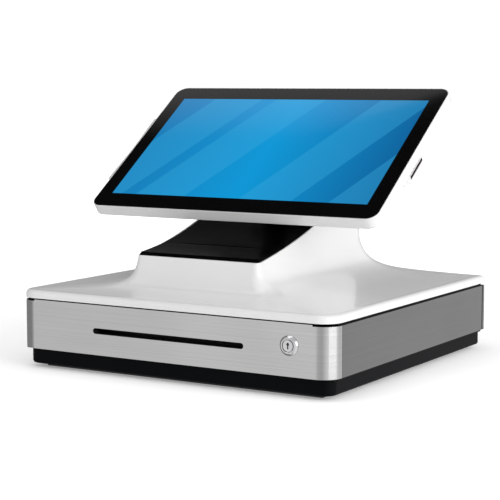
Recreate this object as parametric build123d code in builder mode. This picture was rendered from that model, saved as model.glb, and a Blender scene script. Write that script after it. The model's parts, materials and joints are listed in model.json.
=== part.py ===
"""Countertop point-of-sale terminal: touchscreen head, receipt printer and cash drawer in one base.

Millimetres. Origin on the surface the feet stand on, under the middle of the base. +X is the
operator's right, +Y runs to the back, +Z is up.
"""

from build123d import *

import os
from math import atan2, cos, exp, hypot, pi, radians, sin, sqrt

os.makedirs("parts", exist_ok=True)

# ---- driving dimensions -------------------------------------------------------------------
BASE_W = 409.0
BASE_D = 399.0
HALF_W = BASE_W / 2
FRONT_Y = -BASE_D / 2
REAR_Y = BASE_D / 2

FOOT_H = 4.5
FOOT_INSET = 22.7
PLINTH_INSET = 6.0
PLINTH_FRONT_Y = FRONT_Y + 8.0
PLINTH_REAR_Y = REAR_Y - 3.0
PANEL_BOTTOM = 23.6
PANEL_TOP = 78.5
PANEL_MIDDLE = (PANEL_BOTTOM + PANEL_TOP) / 2
FLAT_FRONT_TOP = 80.1
PANEL_T = 1.2
FRONT_CORNER_R = 21.5
REAR_CORNER_R = 3.0
FRONT_RETURN_Y = -178.0
SIDE_REAR_Y = 190.2
REAR_SEAM = 2.2

COVER_BOTTOM = 81.5
RIM_H = 9.1
RIM_TOP = COVER_BOTTOM + RIM_H
RIM_ROUND = 5.0
COVER_T = 2.5

# heights of the flare's sections, as shares of its rise
FLARE_STEPS = (0.0, 0.012, 0.03, 0.055, 0.09, 0.14, 0.21, 0.3, 0.42, 0.56, 0.72, 0.87, 1.0)
FLARE_EDGE = 5.6  # deck edge to the start of the flare
FLARE_SIDE = (0.14, 0.113, 2.7)
FLARE_FRONT = (0.24, 0.06, 1.45)
FLARE_REAR = (0.45, 0.31, 1.67)
PYLON_HALF_W = 80.5
PYLON_FRONT_Y = -138.0
PYLON_REAR_Y = 123.5
PYLON_FRONT_R = 6.1
PYLON_REAR_R = 30.0
FLARE_TOP = 142.7
NECK_FRONT = (30.0, 178.4)
NECK_TOP_FRONT = (44.0, 198.0)
NECK_TOP_REAR = (104.0, 211.0)
NECK_REAR_Z = 186.0
SERVICE_W, SERVICE_H, SERVICE_Z = 80.0, 30.0, 160.0

RAMP_R = 540.0
RAMP_CENTRE = (-189.0, 132.1 + RAMP_R)
RAMP_T = 3.0
RAMP_HALF_W = 78.6
LID_REAR_Y = -88.6
SLOT_HALF_W = 48.0
LID_PIVOT = (-134.0, 130.6)
LID_BEAD_R = 3.2
LID_PIN_R = 1.2
LID_BORE_R = 1.26

TILT = 35.2
GLASS_CENTRE = (0.0, 19.1, 249.85)
GLASS_W, GLASS_H, GLASS_R = 382.4, 240.8, 13.0
CASE_LIP = 1.0
CASE_DEPTH = 15.0
CASE_BACK = 35.0
TILT_PIVOT = (66.0, 222.0)
TILT_PIN_R = 4.0
TILT_BORE_R = 4.06

PLATEN_AXIS = (-95.0, 129.0)
PLATEN_R = 5.0
ROLL_AXIS = (-111.5, 105.5)
ROLL_R = 20.5
GEAR_MODULE = 0.7
PLATEN_TEETH, DRIVE_TEETH, PINION_TEETH = 18, 24, 12
GEAR_X, GEAR_T = 70.0, 4.0

CAVITY_HALF_W = 202.0
BOX_HALF_W = 188.5
BOX_T = 1.2
BOX_FRONT, BOX_REAR = -190.0, 140.0
BOX_BOTTOM, BOX_TOP = 25.0, 70.0
RAIL_FRONT, RAIL_REAR = -172.0, 138.0
MEDIA_SLOT = (197.0, 6.5, 50.8)
LOCK_X, LOCK_Z = 154.0, 56.4

TILL_HALF_W = 186.5
TILL_FRONT, TILL_REAR = -167.0, 138.0
TILL_TOP = 66.0
TILL_T = 2.0
COIN_DEPTH = 96.0
BAYS = 5
CLIP_AXIS = (126.0, 60.0)
CLIP_ROD_R = 2.0
CLIP_BORE_R = 2.06

LATCH_X = 138.0
PORT_Z = 46.0
PORT_WINDOW_W, PORT_WINDOW_H = 190.0, 20.0
SOCKET_PITCH = 21.5
# width, height and kind of mouth of each socket along the back, left to right
SOCKETS = (
    (9.0, 11.0, "round"),
    (14.0, 7.0, "flat"),
    (14.0, 7.0, "flat"),
    (14.0, 7.0, "flat"),
    (14.0, 7.0, "flat"),
    (16.0, 14.0, "deep"),
    (13.0, 12.0, "deep"),
    (16.0, 6.0, "flat"),
)

# places on the head, across and up the glass from its middle
BUTTON_UV = (112.0, -46.0)
# middle and size of each reader pod's footprint behind the frame
READER_PODS = (
    (-(GLASS_W / 2 + CASE_LIP) + 1.0, -2.0, 20.0, 128.4),
    (GLASS_W / 2 + CASE_LIP - 9.0, -7.8, 18.4, 52.4),
)
DISPLAY = Plane(
    origin=GLASS_CENTRE,
    x_dir=(1, 0, 0),
    z_dir=(0, -sin(radians(TILT)), cos(radians(TILT))),
)


DISPLAY_AXIS = Axis(GLASS_CENTRE, (0, -sin(radians(TILT)), cos(radians(TILT))))


def display_plane(height):
    """The plane parallel to the glass, height above its outer face."""
    return DISPLAY.offset(height)


def pivot_in_head():
    """The tilt pivot's height along the glass and its distance from the glass plane."""
    dy, dz = TILT_PIVOT[0] - GLASS_CENTRE[1], TILT_PIVOT[1] - GLASS_CENTRE[2]
    c, s = cos(radians(TILT)), sin(radians(TILT))
    return dy * c + dz * s, -dy * s + dz * c


HEAD_PIVOT_V, HEAD_PIVOT_N = pivot_in_head()


def save(part, name):
    """Labels a finished sub-part and writes its STEP file."""
    part.label = name
    export_step(part, "parts/" + name + ".step")


def ramp_z(y, drop=0.0):
    """Height of the concave ramp on the pylon at depth y, or of a curve drop below it."""
    radius = RAMP_R + drop
    return RAMP_CENTRE[1] - sqrt(radius**2 - (y - RAMP_CENTRE[0]) ** 2)


# ---- feet and plinth ----------------------------------------------------------------------
def make_foot_strips():
    outer_w = BASE_W - 2 * FOOT_INSET
    outer_d = BASE_D - 2 * FOOT_INSET
    strip, gap = 20.0, 4.0
    with BuildPart() as strips:
        with BuildSketch():
            with GridLocations(0, outer_d - strip, 1, 2):
                Rectangle(outer_w, strip)
            with GridLocations(outer_w - strip, 0, 2, 1):
                Rectangle(strip, outer_d - 2 * strip - 2 * gap)
        extrude(amount=FOOT_H)
        chamfer(strips.edges().group_by(Axis.Z)[0], 0.6)
    save(strips.part, "foot_strips")


def plinth_outline(inset=0.0):
    """Outline of the plinth tray, with wide front corners and tight rear ones."""
    return rounded_outline(
        HALF_W - PLINTH_INSET - inset,
        PLINTH_FRONT_Y + inset,
        PLINTH_REAR_Y - inset,
        14.0 - inset,
        4.0 - inset,
    )


def make_base_tray():
    wall = 2.0
    depth = PLINTH_REAR_Y - PLINTH_FRONT_Y - 2 * wall
    middle = (PLINTH_REAR_Y + PLINTH_FRONT_Y) / 2
    with BuildPart() as tray:
        with BuildSketch(Plane.XY.offset(FOOT_H)):
            make_face(plinth_outline())
        extrude(amount=PANEL_BOTTOM - 1.8 - FOOT_H)
        fillet(tray.edges().group_by(Axis.Z)[0], 3.0)
        with BuildSketch(Plane.XY.offset(FOOT_H + wall)):
            make_face(plinth_outline(wall))
        extrude(amount=PANEL_BOTTOM, mode=Mode.SUBTRACT)
        with BuildSketch(Plane.XY.offset(FOOT_H + wall)):
            with Locations((0, middle)):
                with GridLocations(120, 0, 3, 1):
                    Rectangle(wall, depth)
            with GridLocations(0, 120, 1, 3):
                Rectangle(BASE_W - 2 * PLINTH_INSET - 2 * wall, wall)
        extrude(amount=PANEL_BOTTOM - 1.8 - FOOT_H - wall)
    save(tray.part, "base_tray")


# ---- sheet metal of the base --------------------------------------------------------------
def make_chassis_frame():
    """Floor, two side walls and a back, bent from one sheet; open at the front and the top."""
    sheet = 1.4
    floor_z = PANEL_BOTTOM - 1.8
    top = COVER_BOTTOM - 0.5 - sheet
    back_y = 188.0
    with BuildPart() as frame:
        with BuildSketch(Plane.XY.offset(floor_z)):
            with Locations((0, (back_y + sheet + FRONT_Y + 9) / 2)):
                RectangleRounded(2 * (CAVITY_HALF_W + sheet), back_y + sheet - FRONT_Y - 9, 6)
        extrude(amount=sheet)
        with BuildSketch(Plane.XY.offset(floor_z)):
            with Locations((0, back_y + sheet / 2)):
                Rectangle(2 * (CAVITY_HALF_W + sheet), sheet)
            with GridLocations(2 * CAVITY_HALF_W + sheet, 0, 2, 1):
                with Locations((0, (back_y + sheet + FRONT_RETURN_Y + 0.6) / 2)):
                    Rectangle(sheet, back_y + sheet - FRONT_RETURN_Y - 0.6)
        extrude(amount=top - floor_z)
        with BuildSketch(Plane.XZ.offset(-back_y + 1)):
            with Locations((0, PORT_Z)):
                Rectangle(PORT_WINDOW_W, PORT_WINDOW_H)
        extrude(amount=-5, mode=Mode.SUBTRACT)
        with BuildSketch(Plane.XY.offset(floor_z)):
            with GridLocations(330, 300, 2, 2):
                Circle(2.2)
        extrude(amount=sheet, mode=Mode.SUBTRACT)
    save(frame.part, "chassis_frame")


def make_chassis_top():
    """Roof sheet over the drawer, with a strike lip that the turned lock cam catches."""
    sheet = 1.4
    z = COVER_BOTTOM - 0.5 - sheet
    back_y = 188.0
    lip_y, lip_z = -184.0, 72.0
    with BuildPart() as roof:
        with BuildSketch(Plane.XY.offset(z)):
            with Locations((0, (back_y + sheet + lip_y) / 2)):
                Rectangle(2 * (CAVITY_HALF_W + sheet) - 1, back_y + sheet - lip_y)
        extrude(amount=sheet)
        with BuildSketch(Plane.XY.offset(lip_z)):
            with Locations((LOCK_X, lip_y + 0.7)):
                Rectangle(34, 1.4)
        extrude(amount=z - lip_z + 0.5)
        with BuildSketch(Plane.XY.offset(z)):
            with Locations((0, 25)):
                RectangleRounded(60, 20, 4)
            with Locations((-60, 165)):
                RectangleRounded(40, 16, 4)
        extrude(amount=sheet, mode=Mode.SUBTRACT)
    save(roof.part, "chassis_top")


def make_bay_partition():
    """Wall between the drawer and the electronics bay, notched for the drawer latch."""
    with BuildPart() as wall:
        with BuildSketch(Plane.XZ.offset(-143)):
            with Locations((0, (PANEL_BOTTOM - 0.4 + 79.6) / 2)):
                Rectangle(2 * CAVITY_HALF_W - 1, 79.6 - PANEL_BOTTOM + 0.4)
            with Locations((LATCH_X, 74)):
                Rectangle(14, 12, mode=Mode.SUBTRACT)
        extrude(amount=-1.4)
    save(wall.part, "bay_partition")


def make_side_panels():
    length = SIDE_REAR_Y - FRONT_RETURN_Y - 0.6
    with BuildPart() as panels:
        with BuildSketch(Plane.XY.offset(PANEL_BOTTOM)):
            with Locations((0, (SIDE_REAR_Y + FRONT_RETURN_Y + 0.6) / 2)):
                with GridLocations(BASE_W - PANEL_T + 0.1, 0, 2, 1):
                    Rectangle(PANEL_T - 0.1, length)
        extrude(amount=PANEL_TOP - PANEL_BOTTOM)
    save(panels.part, "side_panels")


def make_rear_panel():
    with BuildPart() as panel:
        with BuildSketch(Plane.XY.offset(PANEL_BOTTOM)):
            with BuildLine():
                Polyline(
                    (-HALF_W, SIDE_REAR_Y + REAR_SEAM),
                    (-HALF_W, REAR_Y),
                    (HALF_W, REAR_Y),
                    (HALF_W, SIDE_REAR_Y + REAR_SEAM),
                    (HALF_W - PANEL_T + 0.1, SIDE_REAR_Y + REAR_SEAM),
                    (HALF_W - PANEL_T + 0.1, REAR_Y - PANEL_T),
                    (-HALF_W + PANEL_T - 0.1, REAR_Y - PANEL_T),
                    (-HALF_W + PANEL_T - 0.1, SIDE_REAR_Y + REAR_SEAM),
                    close=True,
                )
            make_face()
        extrude(amount=PANEL_TOP - PANEL_BOTTOM)
        corners = panel.edges().filter_by(Axis.Z).group_by(Axis.Y)[-1]
        fillet(corners, REAR_CORNER_R)
        with BuildSketch(Plane.XZ.offset(-REAR_Y - 1)):
            with Locations((0, PORT_Z)):
                RectangleRounded(PORT_WINDOW_W, PORT_WINDOW_H, 3)
            with Locations((-PORT_WINDOW_W / 2 - 50, PORT_Z)):
                with GridLocations(7, 0, 9, 1):
                    SlotOverall(22, 2.4, rotation=90)
            with Locations((0, PANEL_MIDDLE)):
                with GridLocations(BASE_W - 30, 36, 2, 2):
                    Circle(1.7)
        extrude(amount=6, mode=Mode.SUBTRACT)
    save(panel.part, "rear_panel")


# ---- white cover: deck and pylon ----------------------------------------------------------
def flare_reach(rise, foot, decay, power):
    """Share of the way out to the deck's edge: a flat foot under a fast fall, then a blend."""
    fall = exp(-rise / decay) - rise * exp(-1 / decay)
    return (1 - foot) * fall + foot * (1 - rise) ** power


def cover_size(z, inset=0.0):
    """Half width, front and rear depth and corner radii of the flare at height z."""
    rise = min(1.0, max(0.0, (z - RIM_TOP) / (FLARE_TOP - RIM_TOP)))
    side = flare_reach(rise, *FLARE_SIDE)
    front = flare_reach(rise, *FLARE_FRONT)
    rear = flare_reach(rise, *FLARE_REAR)
    half_w = PYLON_HALF_W + (HALF_W - FLARE_EDGE - PYLON_HALF_W) * side - inset
    front_y = PYLON_FRONT_Y + (FRONT_Y + FLARE_EDGE - PYLON_FRONT_Y) * front + inset
    rear_y = PYLON_REAR_Y + (REAR_Y - FLARE_EDGE - PYLON_REAR_Y) * rear - inset
    swell = 4 * side * (1 - side)
    front_r = (PYLON_FRONT_R + 26 * swell) * (1 - side**3) + 15 * side**3 - inset
    rear_r = (PYLON_REAR_R + 18 * swell) * (1 - side**3) + 3 * side**3 - inset
    return half_w, front_y, rear_y, max(front_r, 1.0), max(rear_r, 1.0)


def rounded_outline(half_w, front_y, rear_y, front_r, rear_r):
    """Closed outline with one radius at both front corners and another at both rear ones."""
    with BuildLine() as outline:
        front = Line((-half_w + front_r, front_y), (half_w - front_r, front_y))
        right_front = JernArc(front @ 1, (1, 0), front_r, 90)
        right = Line(right_front @ 1, (half_w, rear_y - rear_r))
        right_rear = JernArc(right @ 1, (0, 1), rear_r, 90)
        rear = Line(right_rear @ 1, (-half_w + rear_r, rear_y))
        left_rear = JernArc(rear @ 1, (-1, 0), rear_r, 90)
        left = Line(left_rear @ 1, (-half_w, front_y + front_r))
        JernArc(left @ 1, (0, -1), front_r, 90)
    return outline.edges()


def cover_outline(z, inset=0.0):
    """Outline of the deck-to-pylon flare at height z."""
    return rounded_outline(*cover_size(z, inset))


def rim_outline(inset=0.0):
    """Outline of the deck's edge."""
    rear_r = max(REAR_CORNER_R - inset, 0.5)
    return rounded_outline(
        HALF_W - inset, FRONT_Y + inset, REAR_Y - inset, FRONT_CORNER_R - inset, rear_r
    )


def pylon_profile(drop=0.0):
    """The pylon's side outline, in depth and height, drop inside its skin."""
    ramp_start = PYLON_FRONT_Y + drop
    neck_y, neck_z = NECK_FRONT[0] + drop, NECK_FRONT[1] - drop
    with BuildLine() as outline:
        base = Polyline(
            (ramp_start - 90, LID_PIVOT[1] - 1.2 - drop),
            (ramp_start - 90, 60),
            (PYLON_REAR_Y + 90, 60),
            (PYLON_REAR_Y + 90, 150),
            (PYLON_REAR_Y - drop, 150),
        )
        FilletPolyline(
            (PYLON_REAR_Y - drop, 150),
            (PYLON_REAR_Y - drop, NECK_REAR_Z - drop / 2),
            (NECK_TOP_REAR[0] - drop / 2, NECK_TOP_REAR[1] - drop),
            (NECK_TOP_FRONT[0] + drop, NECK_TOP_FRONT[1] - drop),
            (neck_y, neck_z),
            radius=(26.0 - drop, 16.0 - drop, 9.0 - drop),
        )
        middle_y = -60.0
        ThreePointArc(
            (neck_y, neck_z),
            (middle_y, ramp_z(middle_y, drop)),
            (LID_PIVOT[0], ramp_z(LID_PIVOT[0], drop) - 3.4),
        )
        Line((LID_PIVOT[0], ramp_z(LID_PIVOT[0], drop) - 3.4), base @ 0)
    return outline.edges()


def make_top_cover():
    with BuildPart() as cover:
        with BuildSketch(Plane.XY.offset(COVER_BOTTOM)):
            make_face(rim_outline())
        extrude(amount=RIM_H)
        fillet(cover.edges().group_by(Axis.Z)[-1], RIM_ROUND)
        for step in FLARE_STEPS:
            height = RIM_TOP - 0.2 + step * (FLARE_TOP - RIM_TOP + 0.2)
            with BuildSketch(Plane.XY.offset(height)):
                make_face(cover_outline(height + 0.2 * (1 - step)))
        loft()
        with BuildSketch(Plane.XY.offset(FLARE_TOP)):
            make_face(cover_outline(FLARE_TOP))
        extrude(amount=90)
        with BuildSketch(Plane.YZ.offset(-HALF_W - 1)):
            make_face(pylon_profile())
        extrude(amount=BASE_W + 2, mode=Mode.INTERSECT)
    with BuildPart() as hollow:
        with BuildSketch(Plane.XY.offset(COVER_BOTTOM - 1)):
            make_face(rim_outline(COVER_T))
        extrude(amount=RIM_H + 1 - COVER_T)
        for step in FLARE_STEPS:
            height = RIM_TOP - 0.2 + step * (FLARE_TOP - RIM_TOP + 0.2)
            with BuildSketch(Plane.XY.offset(height - COVER_T)):
                make_face(cover_outline(height + 0.2 * (1 - step), COVER_T))
        loft()
        with BuildSketch(Plane.XY.offset(FLARE_TOP - COVER_T)):
            make_face(cover_outline(FLARE_TOP, COVER_T))
        extrude(amount=90)
        with BuildSketch(Plane.YZ.offset(-HALF_W - 1)):
            make_face(pylon_profile(COVER_T))
        extrude(amount=BASE_W + 2, mode=Mode.INTERSECT)
    with BuildPart() as shell:
        add(cover.part)
        add(hollow.part, mode=Mode.SUBTRACT)
        # opening that the lid and the black ramp cover fill
        with BuildSketch(Plane.YZ.offset(-RAMP_HALF_W - 0.3)):
            with BuildLine():
                Polyline(
                    (LID_PIVOT[0] - LID_BEAD_R - 0.3, 125),
                    (NECK_FRONT[0] + 0.3, 125),
                    (NECK_FRONT[0] + 0.3, 230),
                    (LID_PIVOT[0] - LID_BEAD_R - 0.3, 230),
                    close=True,
                )
            make_face()
        extrude(amount=2 * RAMP_HALF_W + 0.6, mode=Mode.SUBTRACT)
        # opening on the neck for the tilt bracket, and the one behind for the service cover
        with BuildSketch(Plane.XY.offset(185)):
            with Locations((0, TILT_PIVOT[0])):
                RectangleRounded(104, 30, 4)
        extrude(amount=60, mode=Mode.SUBTRACT)
        with BuildSketch(Plane.XZ.offset(-PYLON_REAR_Y + 12)):
            with Locations((0, SERVICE_Z)):
                RectangleRounded(SERVICE_W, SERVICE_H, 6)
        extrude(amount=-30, mode=Mode.SUBTRACT)
        # seats for the ends of the lid's hinge pin
        with BuildSketch(Plane.YZ.offset(-PYLON_HALF_W + 0.8)):
            with Locations(LID_PIVOT):
                Circle(LID_PIN_R)
        extrude(amount=2 * PYLON_HALF_W - 1.6, mode=Mode.SUBTRACT)
    save(shell.part, "top_cover")


def make_pylon_rear_cover():
    """Service cover that closes the opening in the back of the pylon."""
    with BuildPart() as cover:
        with BuildSketch(Plane.XZ.offset(-PYLON_REAR_Y + 2.2)):
            with Locations((0, SERVICE_Z)):
                RectangleRounded(SERVICE_W - 0.8, SERVICE_H - 0.8, 5.6)
        extrude(amount=-2.8)
        fillet(cover.edges().group_by(Axis.Y)[-1], 0.8)
        with BuildSketch(Plane.XZ.offset(-PYLON_REAR_Y - 1)):
            with Locations((0, SERVICE_Z - 9)):
                SlotOverall(24, 5)
        extrude(amount=1.8, mode=Mode.SUBTRACT)
        with BuildSketch(Plane.XZ.offset(-PYLON_REAR_Y - 1)):
            with Locations((0, SERVICE_Z + 4)):
                with GridLocations(0, 5, 1, 3):
                    SlotOverall(56, 2.2)
        extrude(amount=5, mode=Mode.SUBTRACT)
    save(cover.part, "pylon_rear_cover")


# ---- printer lid, ramp cover and mechanism ------------------------------------------------
def ramp_slice(y_front, y_rear, drop, thickness):
    """Outline of a strip of the ramp between two depths, drop below its surface."""
    middle = (y_front + y_rear) / 2
    low = drop + thickness
    with BuildLine() as outline:
        top = ThreePointArc(
            (y_front, ramp_z(y_front, drop)),
            (middle, ramp_z(middle, drop)),
            (y_rear, ramp_z(y_rear, drop)),
        )
        back = Line(top @ 1, (y_rear, ramp_z(y_rear, low)))
        under = ThreePointArc(
            back @ 1, (middle, ramp_z(middle, low)), (y_front, ramp_z(y_front, low))
        )
        Line(under @ 1, top @ 0)
    return outline.edges()


def make_printer_lid():
    """Front lid with a rounded hinge bead, and two cheeks that carry the platen."""
    with BuildPart() as lid:
        with BuildSketch(Plane.YZ.offset(-RAMP_HALF_W)):
            make_face(ramp_slice(LID_PIVOT[0], LID_REAR_Y, 0, RAMP_T))
        extrude(amount=2 * RAMP_HALF_W)
        with BuildSketch(Plane.YZ.offset(-RAMP_HALF_W)):
            with Locations(LID_PIVOT):
                Circle(LID_BEAD_R)
        extrude(amount=2 * RAMP_HALF_W)
        for side in (-1, 1):
            with BuildSketch(Plane.YZ.offset(side * 47.5 - 1.5)):
                with BuildLine():
                    Polyline(
                        (PLATEN_AXIS[0] - 5, ramp_z(PLATEN_AXIS[0] - 5, 1)),
                        (PLATEN_AXIS[0] + 4, ramp_z(PLATEN_AXIS[0] + 4, 1)),
                        (PLATEN_AXIS[0] + 4, PLATEN_AXIS[1] - 4),
                        (PLATEN_AXIS[0] - 5, PLATEN_AXIS[1] - 4),
                        close=True,
                    )
                make_face()
            extrude(amount=3)
        with BuildSketch(Plane.YZ.offset(-RAMP_HALF_W - 1)):
            with Locations(LID_PIVOT):
                Circle(LID_BORE_R)
        extrude(amount=2 * RAMP_HALF_W + 2, mode=Mode.SUBTRACT)
        with BuildSketch(Plane.YZ.offset(-60)):
            with Locations(PLATEN_AXIS):
                Circle(2.06)
        extrude(amount=120, mode=Mode.SUBTRACT)
    save(lid.part, "printer_lid")


def make_lid_hinge_pin():
    length = 2 * PYLON_HALF_W - 2.0
    with BuildPart() as pin:
        with BuildSketch(Plane.YZ.offset(-length / 2)):
            with Locations(LID_PIVOT):
                Circle(LID_PIN_R)
        extrude(amount=length)
    save(pin.part, "lid_hinge_pin")


def make_ramp_cover():
    """Fixed black cover from the paper slot up to the neck."""
    front_y = LID_REAR_Y + 0.4
    with BuildPart() as cover:
        with BuildSketch(Plane.YZ.offset(-RAMP_HALF_W)):
            make_face(ramp_slice(front_y, NECK_FRONT[0], 0, RAMP_T))
        extrude(amount=2 * RAMP_HALF_W)
        with BuildSketch(Plane.XY.offset(100)):
            with Locations((0, front_y)):
                Rectangle(2 * SLOT_HALF_W, 3.4)
        extrude(amount=60, mode=Mode.SUBTRACT)
    save(cover.part, "ramp_cover")


def make_printer_frame():
    """Paper trough, side cheeks and the block that carries the head and the motor."""
    trough_r = ROLL_R + 1.2
    half = 43.0
    with BuildPart() as frame:
        with BuildSketch(Plane.YZ.offset(-half)):
            with Locations(ROLL_AXIS):
                Circle(trough_r + 1.2)
                Circle(trough_r, mode=Mode.SUBTRACT)
                with Locations((0, 20)):
                    Rectangle(60, 40, mode=Mode.SUBTRACT)
        extrude(amount=2 * half)
        for side in (-1, 1):
            with BuildSketch(Plane.YZ.offset(side * (half + 0.6) - 0.6)):
                with Locations(ROLL_AXIS):
                    Circle(trough_r + 1.2)
                    with Locations((0, 20)):
                        Rectangle(60, 40, mode=Mode.SUBTRACT)
            extrude(amount=1.2)
        with BuildSketch(Plane.XY.offset(81.2)):
            with Locations((0, -98)):
                Rectangle(2 * half + 2.4, 56)
        extrude(amount=3)
        with BuildSketch(Plane.XY.offset(81.2)):
            with Locations((0, -78)):
                Rectangle(2 * half + 2.4, 16)
        extrude(amount=52.8)
        with BuildSketch(Plane.XZ.offset(69)):
            with Locations((0, 106)):
                Rectangle(2 * half - 8, 40)
        extrude(amount=12, mode=Mode.SUBTRACT)
        with BuildSketch(Plane.YZ.offset(-half)):
            with Locations(ROLL_AXIS):
                Circle(trough_r)
        extrude(amount=2 * half, mode=Mode.SUBTRACT)
        with BuildSketch(Plane.YZ.offset(half)):
            with BuildLine():
                Polyline((-86, 96), (-70, 96), (-70, 124), (-86, 124), close=True)
            make_face()
        extrude(amount=4.4)
    save(frame.part, "printer_frame")


def make_thermal_head():
    with BuildPart() as head:
        with BuildSketch(Plane.XY.offset(118)):
            with Locations((0, -87.85)):
                Rectangle(82, 3.7)
        extrude(amount=15.8)
        chamfer(head.edges().filter_by(Axis.X).group_by(Axis.Z)[-1], 0.6)
    save(head.part, "thermal_head")


def make_tear_bar():
    teeth = 20
    with BuildPart() as bar:
        with BuildSketch(Plane.XY.offset(134.2)):
            with Locations((0, -79)):
                Rectangle(82, 16)
            with Locations((0, -87)):
                with GridLocations(82 / teeth, 0, teeth, 1):
                    RegularPolygon(2.2, 3, rotation=-90)
        extrude(amount=0.8)
    save(bar.part, "tear_bar")


def make_platen_roller():
    with BuildPart() as roller:
        with BuildSketch(Plane.YZ.offset(-41)):
            with Locations(PLATEN_AXIS):
                Circle(PLATEN_R)
        extrude(amount=82)
        with BuildSketch(Plane.YZ.offset(-51)):
            with Locations(PLATEN_AXIS):
                Circle(2.0)
        extrude(amount=51 + GEAR_X + GEAR_T + 1)
    save(roller.part, "platen_roller")


def make_paper_roll():
    with BuildPart() as roll:
        with BuildSketch(Plane.YZ.offset(-40)):
            with Locations(ROLL_AXIS):
                Circle(ROLL_R)
                Circle(6.5, mode=Mode.SUBTRACT)
        extrude(amount=80)
    save(roll.part, "paper_roll")


def gear_outline(axis, teeth, turn):
    """Straight-flanked gear outline about an axis, with its first tooth at angle turn."""
    pitch_r = GEAR_MODULE * teeth / 2
    tip_r, root_r = pitch_r + 0.8 * GEAR_MODULE, pitch_r - 1.2 * GEAR_MODULE
    step = 2 * pi / teeth
    points = []
    for tooth in range(teeth):
        middle = turn + tooth * step
        for radius, share in ((root_r, -0.31), (tip_r, -0.12), (tip_r, 0.12), (root_r, 0.31)):
            angle = middle + share * step
            points.append((axis[0] + radius * cos(angle), axis[1] + radius * sin(angle)))
    with BuildLine() as outline:
        Polyline(*points, close=True)
    return outline.edges()


def mesh_turn(from_axis, to_axis, from_teeth, from_turn, to_teeth):
    """Angle of the second gear's first tooth that puts it in mesh with the first gear."""
    line = atan2(to_axis[1] - from_axis[1], to_axis[0] - from_axis[0])
    share = (line - from_turn) * from_teeth / (2 * pi)
    return line + pi - (0.5 - share) * 2 * pi / to_teeth


def gear_part(axis, teeth, turn, bore_r):
    with BuildPart() as gear:
        with BuildSketch(Plane.YZ.offset(GEAR_X)):
            make_face(gear_outline(axis, teeth, turn))
            with Locations(axis):
                Circle(bore_r, mode=Mode.SUBTRACT)
        extrude(amount=GEAR_T)
    return gear.part


def drive_axes():
    """Centres of the drive gear and the motor pinion, in depth and height."""
    arm = (PLATEN_AXIS[0] - LID_PIVOT[0], PLATEN_AXIS[1] - LID_PIVOT[1])
    reach = hypot(*arm)
    spread = GEAR_MODULE * (PLATEN_TEETH + DRIVE_TEETH) / 2
    drive = (
        PLATEN_AXIS[0] + spread * arm[1] / reach,
        PLATEN_AXIS[1] - spread * arm[0] / reach,
    )
    lower = GEAR_MODULE * (DRIVE_TEETH + PINION_TEETH) / 2
    pinion = (drive[0] + lower * cos(radians(20)), drive[1] - lower * sin(radians(20)))
    return drive, pinion


def make_gears_and_motor():
    drive, pinion = drive_axes()
    platen_turn = 0.0
    drive_turn = mesh_turn(PLATEN_AXIS, drive, PLATEN_TEETH, platen_turn, DRIVE_TEETH)
    pinion_turn = mesh_turn(drive, pinion, DRIVE_TEETH, drive_turn, PINION_TEETH)
    save(gear_part(PLATEN_AXIS, PLATEN_TEETH, platen_turn, 2.0), "platen_gear")
    save(gear_part(drive, DRIVE_TEETH, drive_turn, 2.06), "drive_gear")
    save(gear_part(pinion, PINION_TEETH, pinion_turn, 1.2), "motor_pinion")
    with BuildPart() as motor:
        with BuildSketch(Plane.YZ.offset(47.4)):
            with Locations(pinion):
                Circle(10)
        extrude(amount=20)
        fillet(motor.edges().filter_by(GeomType.CIRCLE), 0.8)
        with BuildSketch(Plane.YZ.offset(67.4)):
            with Locations(pinion):
                Circle(4)
            with Locations(drive):
                Circle(3.5)
            with BuildLine():
                Polyline(
                    (drive[0] - 3, drive[1] - 3),
                    (pinion[0] - 3, pinion[1] - 4),
                    (pinion[0] + 3, pinion[1] + 4),
                    (drive[0] + 3, drive[1] + 3),
                    close=True,
                )
            make_face()
        extrude(amount=1.6)
        with BuildSketch(Plane.YZ.offset(69.0)):
            with Locations(drive):
                Circle(2.0)
        extrude(amount=GEAR_T + 1.6)
    save(motor.part, "printer_motor")


# ---- electronics bay ----------------------------------------------------------------------
def make_io_board():
    with BuildPart() as board:
        with BuildSketch(Plane.XY.offset(36.0)):
            with Locations((0, 166)):
                Rectangle(230, 40)
            with GridLocations(210, 0, 2, 1):
                with Locations((0, 166)):
                    Circle(1.8, mode=Mode.SUBTRACT)
        extrude(amount=1.6)
        with BuildSketch(Plane.XY.offset(37.6)):
            with Locations((-30, 156)):
                Rectangle(16, 16)
            with Locations((40, 157)):
                Rectangle(11, 14)
        extrude(amount=1.8)
        with BuildSketch(Plane.XY.offset(37.6)):
            with Locations((-75, 155)):
                with GridLocations(11, 0, 3, 1):
                    Circle(4)
        extrude(amount=12)
        with BuildSketch(Plane.XY.offset(23.2)):
            with GridLocations(210, 0, 2, 1):
                with Locations((0, 166)):
                    Circle(3.4)
                    Circle(1.8, mode=Mode.SUBTRACT)
        extrude(amount=12.8)
    save(board.part, "io_board")


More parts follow.
